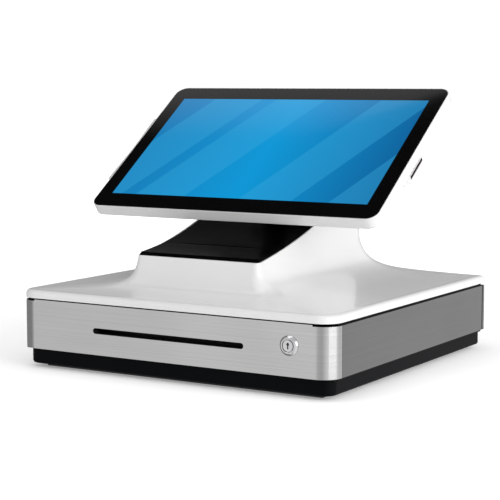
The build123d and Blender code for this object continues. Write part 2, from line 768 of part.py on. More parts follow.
def make_port_sockets():
    """Row of metal-shelled sockets that show in the window of the rear panel."""
    first = -SOCKET_PITCH * (len(SOCKETS) - 1) / 2
    with BuildPart() as sockets:
        for index, (width, height, mouth) in enumerate(SOCKETS):
            x = first + index * SOCKET_PITCH
            with BuildSketch(Plane.XZ.offset(-182)):
                with Locations((x, 37.6 + height / 2)):
                    Rectangle(width, height)
            extrude(amount=-15.5)
            with BuildSketch(Plane.XZ.offset(-198.5)):
                with Locations((x, 37.6 + height / 2)):
                    if mouth == "round":
                        Circle(3.0)
                    else:
                        Rectangle(width - 1.6, height - 1.6)
            extrude(amount=10, mode=Mode.SUBTRACT)
            if mouth != "deep":
                with BuildSketch(Plane.XZ.offset(-186)):
                    with Locations((x, 37.6 + height / 2)):
                        if mouth == "round":
                            Circle(0.9)
                        else:
                            Rectangle(width - 4, 1.6)
                extrude(amount=-10)
    save(sockets.part, "port_sockets")


def make_drawer_latch():
    """Solenoid, its plunger and the hook that holds the drawer's rear wall."""
    pivot_y, pivot_z = 150.0, 74.0
    with BuildPart() as solenoid:
        with BuildSketch(Plane.XY.offset(40)):
            with Locations((LATCH_X, 164)):
                RectangleRounded(22, 20, 2)
        extrude(amount=24)
        with BuildSketch(Plane.XY.offset(40)):
            with Locations((LATCH_X, 164)):
                Circle(3.1)
        extrude(amount=24, mode=Mode.SUBTRACT)
        with BuildSketch(Plane.XY.offset(PANEL_BOTTOM - 0.4)):
            with Locations((LATCH_X, 164)):
                Rectangle(18, 16)
        extrude(amount=16.8)
        # yoke with the two ears that hold the hook's pin
        with BuildSketch(Plane.XY.offset(60)):
            with Locations((LATCH_X, 150)):
                with GridLocations(17.6, 0, 2, 1):
                    Rectangle(1.6, 8)
            with Locations((LATCH_X, 155)):
                with GridLocations(17.6, 0, 2, 1):
                    Rectangle(1.6, 6)
        extrude(amount=18)
        with BuildSketch(Plane.YZ.offset(LATCH_X - 9.6)):
            with Locations((pivot_y, pivot_z)):
                Circle(1.5)
        extrude(amount=19.2)
    save(solenoid.part, "drawer_solenoid")
    with BuildPart() as plunger:
        with BuildSketch(Plane.XY.offset(48)):
            with Locations((LATCH_X, 164)):
                Circle(3.0)
        extrude(amount=23.3)
        fillet(plunger.edges().group_by(Axis.Z)[-1], 0.6)
    save(plunger.part, "solenoid_plunger")
    with BuildPart() as hook:
        with BuildSketch(Plane.YZ.offset(LATCH_X - 4)):
            with BuildLine():
                Polyline(
                    (130.5, 71.2),
                    (136.5, 71.2),
                    (137.2, 72.0),
                    (168.0, 72.0),
                    (168.0, 74.0),
                    (156.0, 76.0),
                    (132.0, 76.0),
                    (130.5, 74.6),
                    close=True,
                )
            make_face()
            with Locations((pivot_y, pivot_z)):
                Circle(3.0)
                Circle(1.56, mode=Mode.SUBTRACT)
        extrude(amount=8)
    save(hook.part, "latch_hook")


# ---- drawer -------------------------------------------------------------------------------
def c_rail(x_web, web_t, x_lip, z_low, z_high, lip_t):
    """Outline of one C-section on the right: a web and two lips towards x_lip."""
    outer = x_web + web_t if x_lip < x_web else x_web - web_t
    with BuildLine() as outline:
        Polyline(
            (outer, z_low),
            (x_lip, z_low),
            (x_lip, z_low + lip_t),
            (x_web, z_low + lip_t),
            (x_web, z_high - lip_t),
            (x_lip, z_high - lip_t),
            (x_lip, z_high),
            (outer, z_high),
            close=True,
        )
    return outline.edges()


def rail_pair(x_web, web_t, x_lip, z_low, z_high, lip_t):
    with BuildPart() as rails:
        with BuildSketch(Plane.XZ.offset(-RAIL_REAR)):
            make_face(c_rail(x_web, web_t, x_lip, z_low, z_high, lip_t))
        extrude(amount=RAIL_REAR - RAIL_FRONT)
        mirror(about=Plane.YZ)
    return rails.part


def make_rails():
    save(rail_pair(200.8, 1.2, 194.4, 30.0, 68.0, 1.4), "outer_rails")
    save(rail_pair(197.8, 1.2, 191.4, 32.4, 65.6, 1.4), "middle_rails")
    save(rail_pair(189.7, 1.2, 195.6, 35.0, 63.0, 1.4), "inner_rails")


def front_outline(inset, y_back):
    """Sketches the wrapped drawer front as a filled outline, cut off at y_back."""
    RectangleRounded(BASE_W - 2 * inset, BASE_D - 2 * inset, FRONT_CORNER_R - inset)
    with Locations((0, (y_back + FRONT_Y) / 2)):
        Rectangle(BASE_W + 2, y_back - FRONT_Y, mode=Mode.INTERSECT)


def front_cutter(depth):
    """Solid of the media slot and the lock hole, to cut depth into the drawer's front."""
    with BuildPart() as cutter:
        with BuildSketch(Plane.XZ.offset(-FRONT_Y + 5)):
            with Locations((0, MEDIA_SLOT[2])):
                SlotOverall(MEDIA_SLOT[0], MEDIA_SLOT[1])
            with Locations((LOCK_X, LOCK_Z)):
                Circle(9.0)
        extrude(amount=-5 - depth)
    return cutter.part


def make_drawer_front():
    """Brushed steel front, wrapped round both corners, a little taller along its flat."""
    with BuildPart() as front:
        with BuildSketch(Plane.XY.offset(PANEL_BOTTOM)):
            front_outline(0, FRONT_RETURN_Y)
            RectangleRounded(
                BASE_W - 2 * PANEL_T,
                BASE_D - 2 * PANEL_T,
                FRONT_CORNER_R - PANEL_T,
                mode=Mode.SUBTRACT,
            )
        extrude(amount=PANEL_TOP - PANEL_BOTTOM)
        with BuildSketch(Plane.XY.offset(PANEL_BOTTOM)):
            with Locations((0, FRONT_Y + PANEL_T / 2)):
                Rectangle(BASE_W - 2 * FRONT_CORNER_R - 3, PANEL_T)
        extrude(amount=FLAT_FRONT_TOP - PANEL_BOTTOM)
        add(front_cutter(3), mode=Mode.SUBTRACT)
    save(front.part, "drawer_front")


def make_drawer_liner():
    """Black backing behind the steel front."""
    y_back = BOX_FRONT - 0.2
    with BuildPart() as liner:
        with BuildSketch(Plane.XY.offset(PANEL_BOTTOM + 0.4)):
            front_outline(PANEL_T, y_back)
        extrude(amount=PANEL_TOP - PANEL_BOTTOM - 1.4)
        add(front_cutter(12), mode=Mode.SUBTRACT)
    save(liner.part, "drawer_liner")


def make_drawer_box():
    depth = BOX_REAR - BOX_FRONT
    with BuildPart() as box:
        with BuildSketch(Plane.XY.offset(BOX_BOTTOM)):
            with Locations((0, (BOX_REAR + BOX_FRONT) / 2)):
                Rectangle(2 * BOX_HALF_W, depth)
        extrude(amount=BOX_TOP - BOX_BOTTOM)
        with BuildSketch(Plane.XY.offset(BOX_BOTTOM + BOX_T)):
            with Locations((0, (BOX_REAR + BOX_FRONT) / 2)):
                Rectangle(2 * BOX_HALF_W - 2 * BOX_T, depth - 2 * BOX_T)
        extrude(amount=BOX_TOP, mode=Mode.SUBTRACT)
        add(front_cutter(14), mode=Mode.SUBTRACT)
    save(box.part, "drawer_box")


def bay_centres():
    """X of the middle of each bay of the till."""
    pitch = (2 * TILL_HALF_W - TILL_T) / BAYS
    return [(index - (BAYS - 1) / 2) * pitch for index in range(BAYS)]


def make_till_tray():
    """Insert with coin cups at the front, note bays behind and the ears of the clip rod."""
    pitch = (2 * TILL_HALF_W - TILL_T) / BAYS
    floor = BOX_BOTTOM + BOX_T + 0.3
    note_front = TILL_FRONT + COIN_DEPTH + 2 * TILL_T
    with BuildPart() as tray:
        with BuildSketch(Plane.XY.offset(floor)):
            with Locations((0, (TILL_FRONT + TILL_REAR) / 2)):
                RectangleRounded(2 * TILL_HALF_W, TILL_REAR - TILL_FRONT, 3)
        extrude(amount=TILL_TOP - floor)
        for x in bay_centres():
            with BuildSketch(Plane.XY.offset(floor + TILL_T)):
                with Locations((x, TILL_FRONT + TILL_T + COIN_DEPTH / 2)):
                    RectangleRounded(pitch - TILL_T, COIN_DEPTH, 1.5)
            extrude(amount=TILL_TOP, mode=Mode.SUBTRACT)
            with BuildSketch(Plane.XY.offset(floor + TILL_T)):
                with Locations((x, (note_front + TILL_REAR - TILL_T) / 2)):
                    RectangleRounded(pitch - TILL_T, TILL_REAR - TILL_T - note_front, 1.5)
            extrude(amount=TILL_TOP, mode=Mode.SUBTRACT)
        # finger notches along the front edge of the note bays
        with BuildSketch(Plane.XZ.offset(-note_front - 1)):
            for x in bay_centres():
                with Locations((x, TILL_TOP)):
                    Rectangle(34, 24)
        extrude(amount=TILL_T + 2, mode=Mode.SUBTRACT)
        with BuildSketch(Plane.YZ.offset(-TILL_HALF_W - 1)):
            with Locations(CLIP_AXIS):
                Circle(CLIP_ROD_R)
        extrude(amount=2 * TILL_HALF_W + 2, mode=Mode.SUBTRACT)
    save(tray.part, "till_tray")


def make_clip_rod():
    with BuildPart() as rod:
        with BuildSketch(Plane.YZ.offset(-TILL_HALF_W + 0.2)):
            with Locations(CLIP_AXIS):
                Circle(CLIP_ROD_R)
        extrude(amount=2 * TILL_HALF_W - 0.4)
    save(rod.part, "clip_rod")


def make_bill_clips():
    """Five sprung arms that press the notes down; each turns on the rod."""
    y, z = CLIP_AXIS
    tip = (y - 88, 33.0)
    for index, x in enumerate(bay_centres()):
        with BuildPart() as clip:
            with BuildSketch(Plane.YZ.offset(x - 7)):
                with BuildLine():
                    Polyline(
                        (y, z + 3.4),
                        (y - 30, z - 3.2),
                        (tip[0], tip[1] + 3),
                        (tip[0] - 6, tip[1] + 6),
                        (tip[0] - 8, tip[1] + 4),
                        (tip[0], tip[1]),
                        (y - 29, z - 6.4),
                        (y, z - 3.4),
                        close=True,
                    )
                make_face()
                with Locations(CLIP_AXIS):
                    Circle(4.2)
            extrude(amount=14)
            with BuildSketch(Plane.YZ.offset(x - 12)):
                with Locations(CLIP_AXIS):
                    Circle(4.2)
            extrude(amount=24)
            with BuildSketch(Plane.YZ.offset(x - 13)):
                with Locations(CLIP_AXIS):
                    Circle(CLIP_BORE_R)
            extrude(amount=26, mode=Mode.SUBTRACT)
        save(clip.part, "bill_clip_" + str(index + 1))


def make_lock():
    """Chrome housing in the drawer front, its turning plug and the cam behind."""
    plug_r, bore_r, ring_t = 6.0, 6.06, 3.2
    with BuildPart() as housing:
        with BuildSketch(Plane.XZ.offset(-FRONT_Y)):
            with Locations((LOCK_X, LOCK_Z)):
                Circle(10.8)
                Circle(bore_r, mode=Mode.SUBTRACT)
        extrude(amount=ring_t)
        face_circles = housing.edges().filter_by(GeomType.CIRCLE).group_by(Axis.Y)[0]
        chamfer(face_circles.sort_by(SortBy.RADIUS)[-1], 0.9)
        with BuildSketch(Plane.XZ.offset(-FRONT_Y + ring_t)):
            with Locations((LOCK_X, LOCK_Z)):
                Circle(8.6)
                Circle(7.7, mode=Mode.SUBTRACT)
        extrude(amount=-0.7, mode=Mode.SUBTRACT)
        with BuildSketch(Plane.XZ.offset(-FRONT_Y)):
            with Locations((LOCK_X, LOCK_Z)):
                Circle(8.8)
                Circle(bore_r, mode=Mode.SUBTRACT)
        extrude(amount=-17.0)
    save(housing.part, "lock_housing")
    with BuildPart() as plug:
        with BuildSketch(Plane.XZ.offset(-FRONT_Y + ring_t - 0.4)):
            with Locations((LOCK_X, LOCK_Z)):
                Circle(plug_r)
        extrude(amount=-ring_t - 18.6)
        with BuildSketch(Plane.XZ.offset(-FRONT_Y + ring_t)):
            with Locations((LOCK_X, LOCK_Z)):
                Rectangle(1.4, 7.0)
                with Locations((0, 1.6)):
                    Circle(1.6)
        extrude(amount=-10.0, mode=Mode.SUBTRACT)
    save(plug.part, "lock_plug")
    with BuildPart() as cam:
        with BuildSketch(Plane.XZ.offset(-FRONT_Y - 19.2)):
            with Locations((LOCK_X, LOCK_Z)):
                Circle(7.0)
                with Locations((-10, 0)):
                    RectangleRounded(20, 9, 2)
        extrude(amount=-1.6)
        with BuildSketch(Plane.XZ.offset(-FRONT_Y - 20.8)):
            with Locations((LOCK_X, LOCK_Z)):
                RegularPolygon(4.0, 6)
        extrude(amount=-2.4)
    save(cam.part, "lock_cam")


# ---- touchscreen head ---------------------------------------------------------------------
def make_touch_glass():
    with BuildPart() as glass:
        with BuildSketch(display_plane(-2.0)):
            RectangleRounded(GLASS_W, GLASS_H, GLASS_R)
        extrude(amount=2.0)
        chamfer(glass.edges().sort_by(DISPLAY_AXIS)[-8:], 0.3)
    save(glass.part, "touch_glass")


def make_head_bezel():
    """Frame of the head: it holds the glass and forms its edge all round."""
    outer_w, outer_h = GLASS_W + 2 * CASE_LIP, GLASS_H + 2 * CASE_LIP
    wall = 2.4
    with BuildPart() as bezel:
        with BuildSketch(display_plane(-CASE_DEPTH)):
            RectangleRounded(outer_w, outer_h, GLASS_R + CASE_LIP)
        extrude(amount=CASE_DEPTH - 0.3)
        fillet(bezel.edges().sort_by(DISPLAY_AXIS)[:8], 1.6)
        with BuildSketch(display_plane(-2.1)):
            RectangleRounded(GLASS_W + 0.4, GLASS_H + 0.4, GLASS_R + 0.2)
        extrude(amount=5, mode=Mode.SUBTRACT)
        with BuildSketch(display_plane(-CASE_DEPTH - 1)):
            RectangleRounded(GLASS_W - 20, GLASS_H - 20, 6)
        extrude(amount=CASE_DEPTH + 2, mode=Mode.SUBTRACT)
        with BuildSketch(display_plane(-CASE_DEPTH - 1)):
            RectangleRounded(outer_w - 2 * wall, outer_h - 2 * wall, GLASS_R + CASE_LIP - wall)
        extrude(amount=CASE_DEPTH - 4, mode=Mode.SUBTRACT)
    save(bezel.part, "head_bezel")


def make_lcd_panel():
    with BuildPart() as panel:
        with BuildSketch(display_plane(-9.2)):
            RectangleRounded(356, 208, 2)
        extrude(amount=7.0)
    save(panel.part, "lcd_panel")


def make_head_chassis():
    """Steel plate behind the display panel that carries the board and the tilt bracket."""
    with BuildPart() as plate:
        with BuildSketch(display_plane(-11.0)):
            RectangleRounded(352, 200, 4)
            with GridLocations(300, 150, 2, 2):
                Circle(5, mode=Mode.SUBTRACT)
        extrude(amount=1.5)
        with BuildSketch(display_plane(-CASE_BACK + COVER_T)):
            with Locations((0, HEAD_PIVOT_V)):
                with GridLocations(80, 50, 2, 2):
                    Circle(4.5)
        extrude(amount=CASE_BACK - COVER_T - 11.0)
        with BuildSketch(display_plane(-CASE_BACK + COVER_T)):
            with Locations((0, HEAD_PIVOT_V)):
                with GridLocations(80, 50, 2, 2):
                    Circle(1.6)
        extrude(amount=12, mode=Mode.SUBTRACT)
    save(plate.part, "head_chassis")


def rear_bulge(inset, shift):
    """Solid of the head's bulged back, inset on every side and shifted towards the glass."""
    outer_w, outer_h = GLASS_W + 2 * CASE_LIP, GLASS_H + 2 * CASE_LIP
    shapes = (
        (-CASE_DEPTH - 0.3, outer_w - 4, outer_h - 4, 12.0),
        (-CASE_DEPTH - 6, outer_w - 26, outer_h - 26, 18.0),
        (-CASE_DEPTH - 13, outer_w - 62, outer_h - 60, 24.0),
        (-CASE_BACK, outer_w - 110, outer_h - 92, 26.0),
    )
    with BuildPart() as bulge:
        for height, width, tall, radius in shapes:
            with BuildSketch(display_plane(height + shift)):
                RectangleRounded(width - 2 * inset, tall - 2 * inset, radius - inset)
        loft()
    return bulge.part


def make_head_rear_cover():
    with BuildPart() as core:
        add(rear_bulge(COVER_T, COVER_T))
        with BuildSketch(display_plane(-CASE_DEPTH + COVER_T - 0.4)):
            RectangleRounded(GLASS_W - 8 - 2 * COVER_T, GLASS_H - 8 - 2 * COVER_T, 8)
        extrude(amount=-COVER_T)
    with BuildPart() as cover:
        add(rear_bulge(0, 0))
        add(core.part, mode=Mode.SUBTRACT)
        # recesses for the two reader pods on the edges
        with BuildSketch(display_plane(-CASE_BACK - 1)):
            for pod_x, pod_v, pod_w, pod_h in READER_PODS:
                with Locations((pod_x, pod_v)):
                    Rectangle(pod_w, pod_h)
        extrude(amount=CASE_BACK, mode=Mode.SUBTRACT)
        # vent rows, the four holes of the tilt bracket and the power button's hole
        with BuildSketch(display_plane(-CASE_BACK - 2)):
            with Locations((0, -52)):
                with GridLocations(9, 0, 15, 1):
                    SlotOverall(18, 3, rotation=90)
            with Locations((0, HEAD_PIVOT_V)):
                with GridLocations(80, 50, 2, 2):
                    Circle(2.2)
            with Locations(BUTTON_UV):
                Circle(5.2)
        extrude(amount=6, mode=Mode.SUBTRACT)
        with BuildSketch(display_plane(-CASE_DEPTH - 9)):
            with GridLocations(GLASS_W - 40, GLASS_H - 40, 2, 2):
                Circle(3.0)
        extrude(amount=-8, mode=Mode.SUBTRACT)
    save(cover.part, "head_rear_cover")


def make_power_button():
    with BuildPart() as button:
        with BuildSketch(display_plane(-CASE_BACK - 1.0)):
            with Locations(BUTTON_UV):
                Circle(5.0)
        extrude(amount=6)
        fillet(button.edges().sort_by(DISPLAY_AXIS)[0], 0.6)
        with BuildSketch(display_plane(-CASE_BACK + COVER_T + 0.6)):
            with Locations(BUTTON_UV):
                Circle(6.4)
        extrude(amount=1.2)
    save(button.part, "power_button")


def make_main_board():
    with BuildPart() as board:
        with BuildSketch(display_plane(-19.0)):
            with Locations((-10, 30)):
                Rectangle(180, 100)
            with Locations((0, HEAD_PIVOT_V)):
                with GridLocations(80, 50, 2, 2):
                    Circle(5.5, mode=Mode.SUBTRACT)
        extrude(amount=1.6)
        with BuildSketch(display_plane(-17.4)):
            with Locations((-10, 30)):
                with GridLocations(168, 88, 2, 2):
                    Circle(3)
        extrude(amount=6.4)
        with BuildSketch(display_plane(-22.0)):
            with Locations((-70, 50)):
                with GridLocations(0, 14, 1, 3):
                    Rectangle(30, 9)
            with Locations((62, 21)):
                Rectangle(26, 22)
        extrude(amount=3)
    save(board.part, "main_board")


def make_heat_sink():
    """Finned block on the processor."""
    with BuildPart() as sink:
        with BuildSketch(display_plane(-21.0)):
            with Locations((0, 38)):
                Rectangle(52, 56)
        extrude(amount=2)
        with BuildSketch(display_plane(-29.0)):
            with Locations((0, 38)):
                with GridLocations(5.6, 0, 10, 1):
                    Rectangle(1.4, 56)
        extrude(amount=8)
    save(sink.part, "heat_sink")


def make_card_reader():
    """Swipe reader on the left edge: an inner body, an outer guide and the slot between."""
    left = -(GLASS_W / 2 + CASE_LIP)
    bottom, top = -66.0, 62.0
    with BuildPart() as body:
        with BuildSketch(display_plane(-27.0)):
            with Locations((left + 3.6, (bottom + top) / 2)):
                Rectangle(14.4, top - bottom)
        extrude(amount=CASE_DEPTH - 3.3)
        with BuildSketch(display_plane(-27.0)):
            with Locations((left - 2.1, (bottom + top) / 2)):
                Rectangle(3.0, top - bottom)
        extrude(amount=22.0)
    save(body.part, "card_reader_body")
    with BuildPart() as guide:
        with BuildSketch(display_plane(-27.0)):
            with BuildLine():
                x_in, x_out = left - 5.2, left - 8.4
                Line((x_in, bottom), (x_out, bottom + 3))
                Line((x_out, bottom + 3), (x_out, bottom + 22))
                ThreePointArc(
                    (x_out, bottom + 22),
                    (x_out + 1.4, (bottom + top) / 2),
                    (x_out, top - 22),
                )
                Line((x_out, top - 22), (x_out, top - 3))
                Line((x_out, top - 3), (x_in, top))
                Line((x_in, top), (x_in, bottom))
            make_face()
        extrude(amount=22.0)
        with BuildSketch(display_plane(-27.0)):
            with Locations((left - 4.4, (bottom + top) / 2)):
                Rectangle(1.6, top - bottom)
        extrude(amount=5.0)
    save(guide.part, "card_reader_guide")


def make_code_reader():
    """Small pod on the right edge with the dark window of the code reader."""
    right = GLASS_W / 2 + CASE_LIP
    with BuildPart() as pod:
        with BuildSketch(display_plane(-26.0)):
            with BuildLine():
                Polyline(
                    (right - 18.0, -33.8),
                    (right - 7.0, -33.8),
                    (right, -26.8),
                    (right, 11.2),
                    (right - 7.0, 18.2),
                    (right - 18.0, 18.2),
                    close=True,
                )
            make_face()
        extrude(amount=CASE_DEPTH - 4.3)
        with BuildSketch(display_plane(-20.9)):
            with Locations((right - 1.0, -7.8)):
                Rectangle(4.0, 36.4)
        extrude(amount=4.4, mode=Mode.SUBTRACT)
    save(pod.part, "code_reader_pod")
    with BuildPart() as window:
        with BuildSketch(display_plane(-20.8)):
            with Locations((right - 1.7, -7.8)):
                Rectangle(2.4, 36.2)
        extrude(amount=4.2)
    save(window.part, "code_reader_window")


def knuckle_corners(half, reach):
    """Corners, in depth and height, of a knuckle's root from the tilt pivot to the plate."""
    c, s = cos(radians(TILT)), sin(radians(TILT))
    y, z = TILT_PIVOT
    local = ((-half, 0), (half, 0), (half, reach), (-half, reach))
    return [(y + u * c - n * s, z + u * s + n * c) for u, n in local]


def make_tilt_bracket():
    """Plate screwed to the head, with two knuckles on the tilt pin."""
    with BuildPart() as bracket:
        with BuildSketch(display_plane(-CASE_BACK - 3.2)):
            with Locations((0, HEAD_PIVOT_V)):
                RectangleRounded(96, 64, 5)
                with GridLocations(80, 50, 2, 2):
                    Circle(2.2, mode=Mode.SUBTRACT)
        extrude(amount=3.0)
        for x in (-24, 24):
            with BuildSketch(Plane.YZ.offset(x - 5)):
                with Locations(TILT_PIVOT):
                    Circle(9)
                with BuildLine():
                    Polyline(*knuckle_corners(9, -HEAD_PIVOT_N - CASE_BACK - 1.0), close=True)
                make_face()
            extrude(amount=10)
        with BuildSketch(Plane.YZ.offset(-60)):
            with Locations(TILT_PIVOT):
                Circle(TILT_BORE_R)
        extrude(amount=120, mode=Mode.SUBTRACT)
    save(bracket.part, "tilt_bracket")


def make_neck_bracket():
    """Steel post inside the pylon: foot flange, web and the two outer knuckles."""
    y, z = TILT_PIVOT
    with BuildPart() as bracket:
        with BuildSketch(Plane.XY.offset(81.2)):
            with Locations((0, y)):
                RectangleRounded(110, 60, 6)
                with GridLocations(90, 44, 2, 2):
                    Circle(2.7, mode=Mode.SUBTRACT)
        extrude(amount=4)
        with BuildSketch(Plane.XY.offset(81.2)):
            with Locations((0, y)):
                Rectangle(90, 6)
        extrude(amount=z - 16 - 81.2)
        for x in (-37, 37):
            with BuildSketch(Plane.YZ.offset(x - 6)):
                with BuildLine():
                    Polyline((y - 9, z), (y - 9, z - 24), (y + 9, z - 24), (y + 9, z), close=True)
                make_face()
                with Locations(TILT_PIVOT):
                    Circle(9)
            extrude(amount=12)
        with BuildSketch(Plane.YZ.offset(-60)):
            with Locations(TILT_PIVOT):
                Circle(TILT_PIN_R)
        extrude(amount=120, mode=Mode.SUBTRACT)
    save(bracket.part, "neck_bracket")


def make_tilt_pin():
    with BuildPart() as pin:
        with BuildSketch(Plane.YZ.offset(-45)):
            with Locations(TILT_PIVOT):
                Circle(TILT_PIN_R)
        extrude(amount=90)
        chamfer(pin.edges().filter_by(GeomType.CIRCLE), 0.5)
    save(pin.part, "tilt_pin")


# ---- fasteners ----------------------------------------------------------------------------
def pan_screws(name, plane, spots, head_r, head_h, shank_r, shank_l):
    """One group of equal pan-head screws, heads on the plane and shanks into it."""
    with BuildPart() as screws:
        with BuildSketch(plane):
            with Locations(*spots):
                Circle(head_r)
        extrude(amount=head_h)
        with BuildSketch(plane):
            with Locations(*spots):
                Circle(shank_r)
        extrude(amount=-shank_l)
        with BuildSketch(plane.offset(head_h)):
            for spot in spots:
                with Locations(spot):
                    Rectangle(head_r * 1.2, head_r * 0.3)
                    Rectangle(head_r * 0.3, head_r * 1.2)
        extrude(amount=-head_h * 0.5, mode=Mode.SUBTRACT)
    save(screws.part, name)


def make_screws():
    rear = Plane(origin=(0, REAR_Y, PANEL_MIDDLE), x_dir=(-1, 0, 0), z_dir=(0, 1, 0))
    half = (BASE_W - 30) / 2
    corners = [(x, z) for x in (-half, half) for z in (-18, 18)]
    pan_screws("rear_panel_screws", rear, corners, 2.9, 1.4, 1.5, 4.0)
    back = Plane(
        origin=display_plane(-CASE_BACK - 3.2).origin,
        x_dir=(-1, 0, 0),
        z_dir=(0, sin(radians(TILT)), -cos(radians(TILT))),
    )
    spots = [(x, HEAD_PIVOT_V + v) for x in (-40, 40) for v in (-25, 25)]
    pan_screws("bracket_screws", back, spots, 3.6, 2.2, 1.5, 8.0)


make_foot_strips()
make_base_tray()
make_chassis_frame()
make_chassis_top()
make_bay_partition()
make_side_panels()
make_rear_panel()
make_top_cover()
make_pylon_rear_cover()
make_printer_lid()
make_lid_hinge_pin()
make_ramp_cover()
make_printer_frame()
make_thermal_head()
make_tear_bar()
make_platen_roller()
make_paper_roll()
make_gears_and_motor()
make_io_board()
make_port_sockets()
make_drawer_latch()
make_rails()
make_drawer_front()
make_drawer_liner()
make_drawer_box()
make_till_tray()
make_clip_rod()
make_bill_clips()
make_lock()
make_touch_glass()
make_head_bezel()
make_lcd_panel()
make_head_chassis()
make_head_rear_cover()
make_power_button()
make_main_board()
make_heat_sink()
make_card_reader()
make_code_reader()
make_tilt_bracket()
make_neck_bracket()
make_tilt_pin()
make_screws()
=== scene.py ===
"""Looks of a countertop point-of-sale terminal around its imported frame. Metres, +Y to the back."""

import json
import math

import bmesh
import bpy
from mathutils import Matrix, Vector


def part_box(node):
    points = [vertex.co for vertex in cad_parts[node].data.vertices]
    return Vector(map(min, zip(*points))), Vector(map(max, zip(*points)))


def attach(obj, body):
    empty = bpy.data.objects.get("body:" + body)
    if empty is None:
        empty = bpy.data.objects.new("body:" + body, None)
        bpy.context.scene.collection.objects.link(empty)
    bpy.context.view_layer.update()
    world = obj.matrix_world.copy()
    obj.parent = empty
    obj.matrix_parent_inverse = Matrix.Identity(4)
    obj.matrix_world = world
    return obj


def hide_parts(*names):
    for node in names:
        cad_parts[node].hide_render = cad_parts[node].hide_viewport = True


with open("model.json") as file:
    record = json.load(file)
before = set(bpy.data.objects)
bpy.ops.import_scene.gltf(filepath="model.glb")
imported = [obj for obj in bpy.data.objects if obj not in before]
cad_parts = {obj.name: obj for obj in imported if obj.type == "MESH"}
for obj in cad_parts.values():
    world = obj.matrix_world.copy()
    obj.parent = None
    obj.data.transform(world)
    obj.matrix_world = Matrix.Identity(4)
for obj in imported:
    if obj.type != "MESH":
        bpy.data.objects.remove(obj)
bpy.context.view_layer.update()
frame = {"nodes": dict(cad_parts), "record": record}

nodes = frame["nodes"]
scene = bpy.context.scene
MM = 0.001


# ---- camera -------------------------------------------------------------------------------
SENSOR_WIDTH, FOCAL_LENGTH = 36.0, 111.71
CAMERA_SPOT = (0.94012, -1.57550, 0.32858)
CAMERA_PITCH, CAMERA_TURN = math.radians(83.78), math.radians(31.20)


def make_camera():
    """Long lens a little above the base, seen from the front right."""
    data = bpy.data.cameras.new("camera")
    data.sensor_width = SENSOR_WIDTH
    data.lens = FOCAL_LENGTH
    data.clip_start, data.clip_end = 0.1, 60.0
    camera = bpy.data.objects.new("camera", data)
    camera.location = CAMERA_SPOT
    camera.rotation_euler = (CAMERA_PITCH, 0.0, CAMERA_TURN)
    scene.collection.objects.link(camera)
    scene.camera = camera


# ---- node helpers -------------------------------------------------------------------------
def paint(text):
    """Linear colour of a hex code."""
    parts = [int(text[i : i + 2], 16) / 255 for i in (0, 2, 4)]
    return tuple(c / 12.92 if c <= 0.04045 else ((c + 0.055) / 1.055) ** 2.4 for c in parts) + (1.0,)


class Graph:
    """Small builder for one material's or world's nodes."""

    def __init__(self, tree):
        self.tree = tree

    def add(self, kind, **settings):
        """A new node of a kind, with its settings."""
        node = self.tree.nodes.new(kind)
        for name, value in settings.items():
            setattr(node, name, value)
        return node

    def feed(self, socket, value):
        """Links an output to the socket, or sets the socket's own value."""
        if isinstance(value, bpy.types.NodeSocket):
            self.tree.links.new(value, socket)
        elif value is not None:
            socket.default_value = value

    def calc(self, operation, a, b=None, c=None, clamp=False):
        """Result of one step of arithmetic."""
        node = self.add("ShaderNodeMath", operation=operation, use_clamp=clamp)
        for socket, value in zip(node.inputs, (a, b, c)):
            self.feed(socket, value)
        return node.outputs[0]

    def vector(self, operation, a, b=None):
        """Result of one step of vector arithmetic."""
        node = self.add("ShaderNodeVectorMath", operation=operation)
        self.feed(node.inputs[0], a)
        self.feed(node.inputs[1], b)
        return node.outputs["Value" if operation in ("DOT_PRODUCT", "LENGTH", "DISTANCE") else "Vector"]

    def place(self, stretch=(1, 1, 1)):
        """Coordinates fixed to the object, stretched along its axes."""
        coords = self.add("ShaderNodeTexCoord").outputs["Object"]
        return self.vector("MULTIPLY", coords, stretch)

    def noise(self, scale, stretch=(1, 1, 1), detail=3.0, roughness=0.55):
        """Cloudy pattern from 0 to 1, with scale features to a metre."""
        node = self.add("ShaderNodeTexNoise")
        self.feed(node.inputs["Vector"], self.place(stretch))
        node.inputs["Scale"].default_value = scale
        node.inputs["Detail"].default_value = detail
        node.inputs["Roughness"].default_value = roughness
        return node.outputs["Fac"]

    def cells(self, scale, output="Distance"):
        """Pattern of cells, scale of them to a metre."""
        node = self.add("ShaderNodeTexVoronoi")
        self.feed(node.inputs["Vector"], self.place())
        node.inputs["Scale"].default_value = scale
        return node.outputs[output]

    def spread(self, value, low, high, at=(0.0, 1.0)):
        """Value mapped from the range at to low..high."""
        node = self.add("ShaderNodeMapRange")
        for name, number in zip(("From Min", "From Max", "To Min", "To Max"), (*at, low, high)):
            node.inputs[name].default_value = number
        self.feed(node.inputs["Value"], value)
        return node.outputs["Result"]

    def blend(self, share, a, b):
        """Colour a where share is 0 and colour b where it is 1."""
        node = self.add("ShaderNodeMix", data_type="RGBA")
        for index, value in ((0, share), (6, a), (7, b)):
            self.feed(node.inputs[index], value)
        return node.outputs[2]

    def ramp(self, value, stops):
        """Colour read from stops of place and colour."""
        node = self.add("ShaderNodeValToRGB")
        marks = node.color_ramp.elements
        while len(marks) < len(stops):
            marks.new(0.5)
        for mark, (spot, colour) in zip(marks, stops):
            mark.position = spot
            mark.color = colour
        self.feed(node.inputs[0], value)
        return node.outputs[0]

    def bump(self, height, strength, depth):
        """Surface direction from a height pattern that is depth metres deep."""
        node = self.add("ShaderNodeBump")
        node.inputs["Strength"].default_value = strength
        node.inputs["Distance"].default_value = depth
        self.feed(node.inputs["Height"], height)
        return node.outputs[0]


def grey(value):
    """Linear grey of one level."""
    return (value, value, value, 1.0)


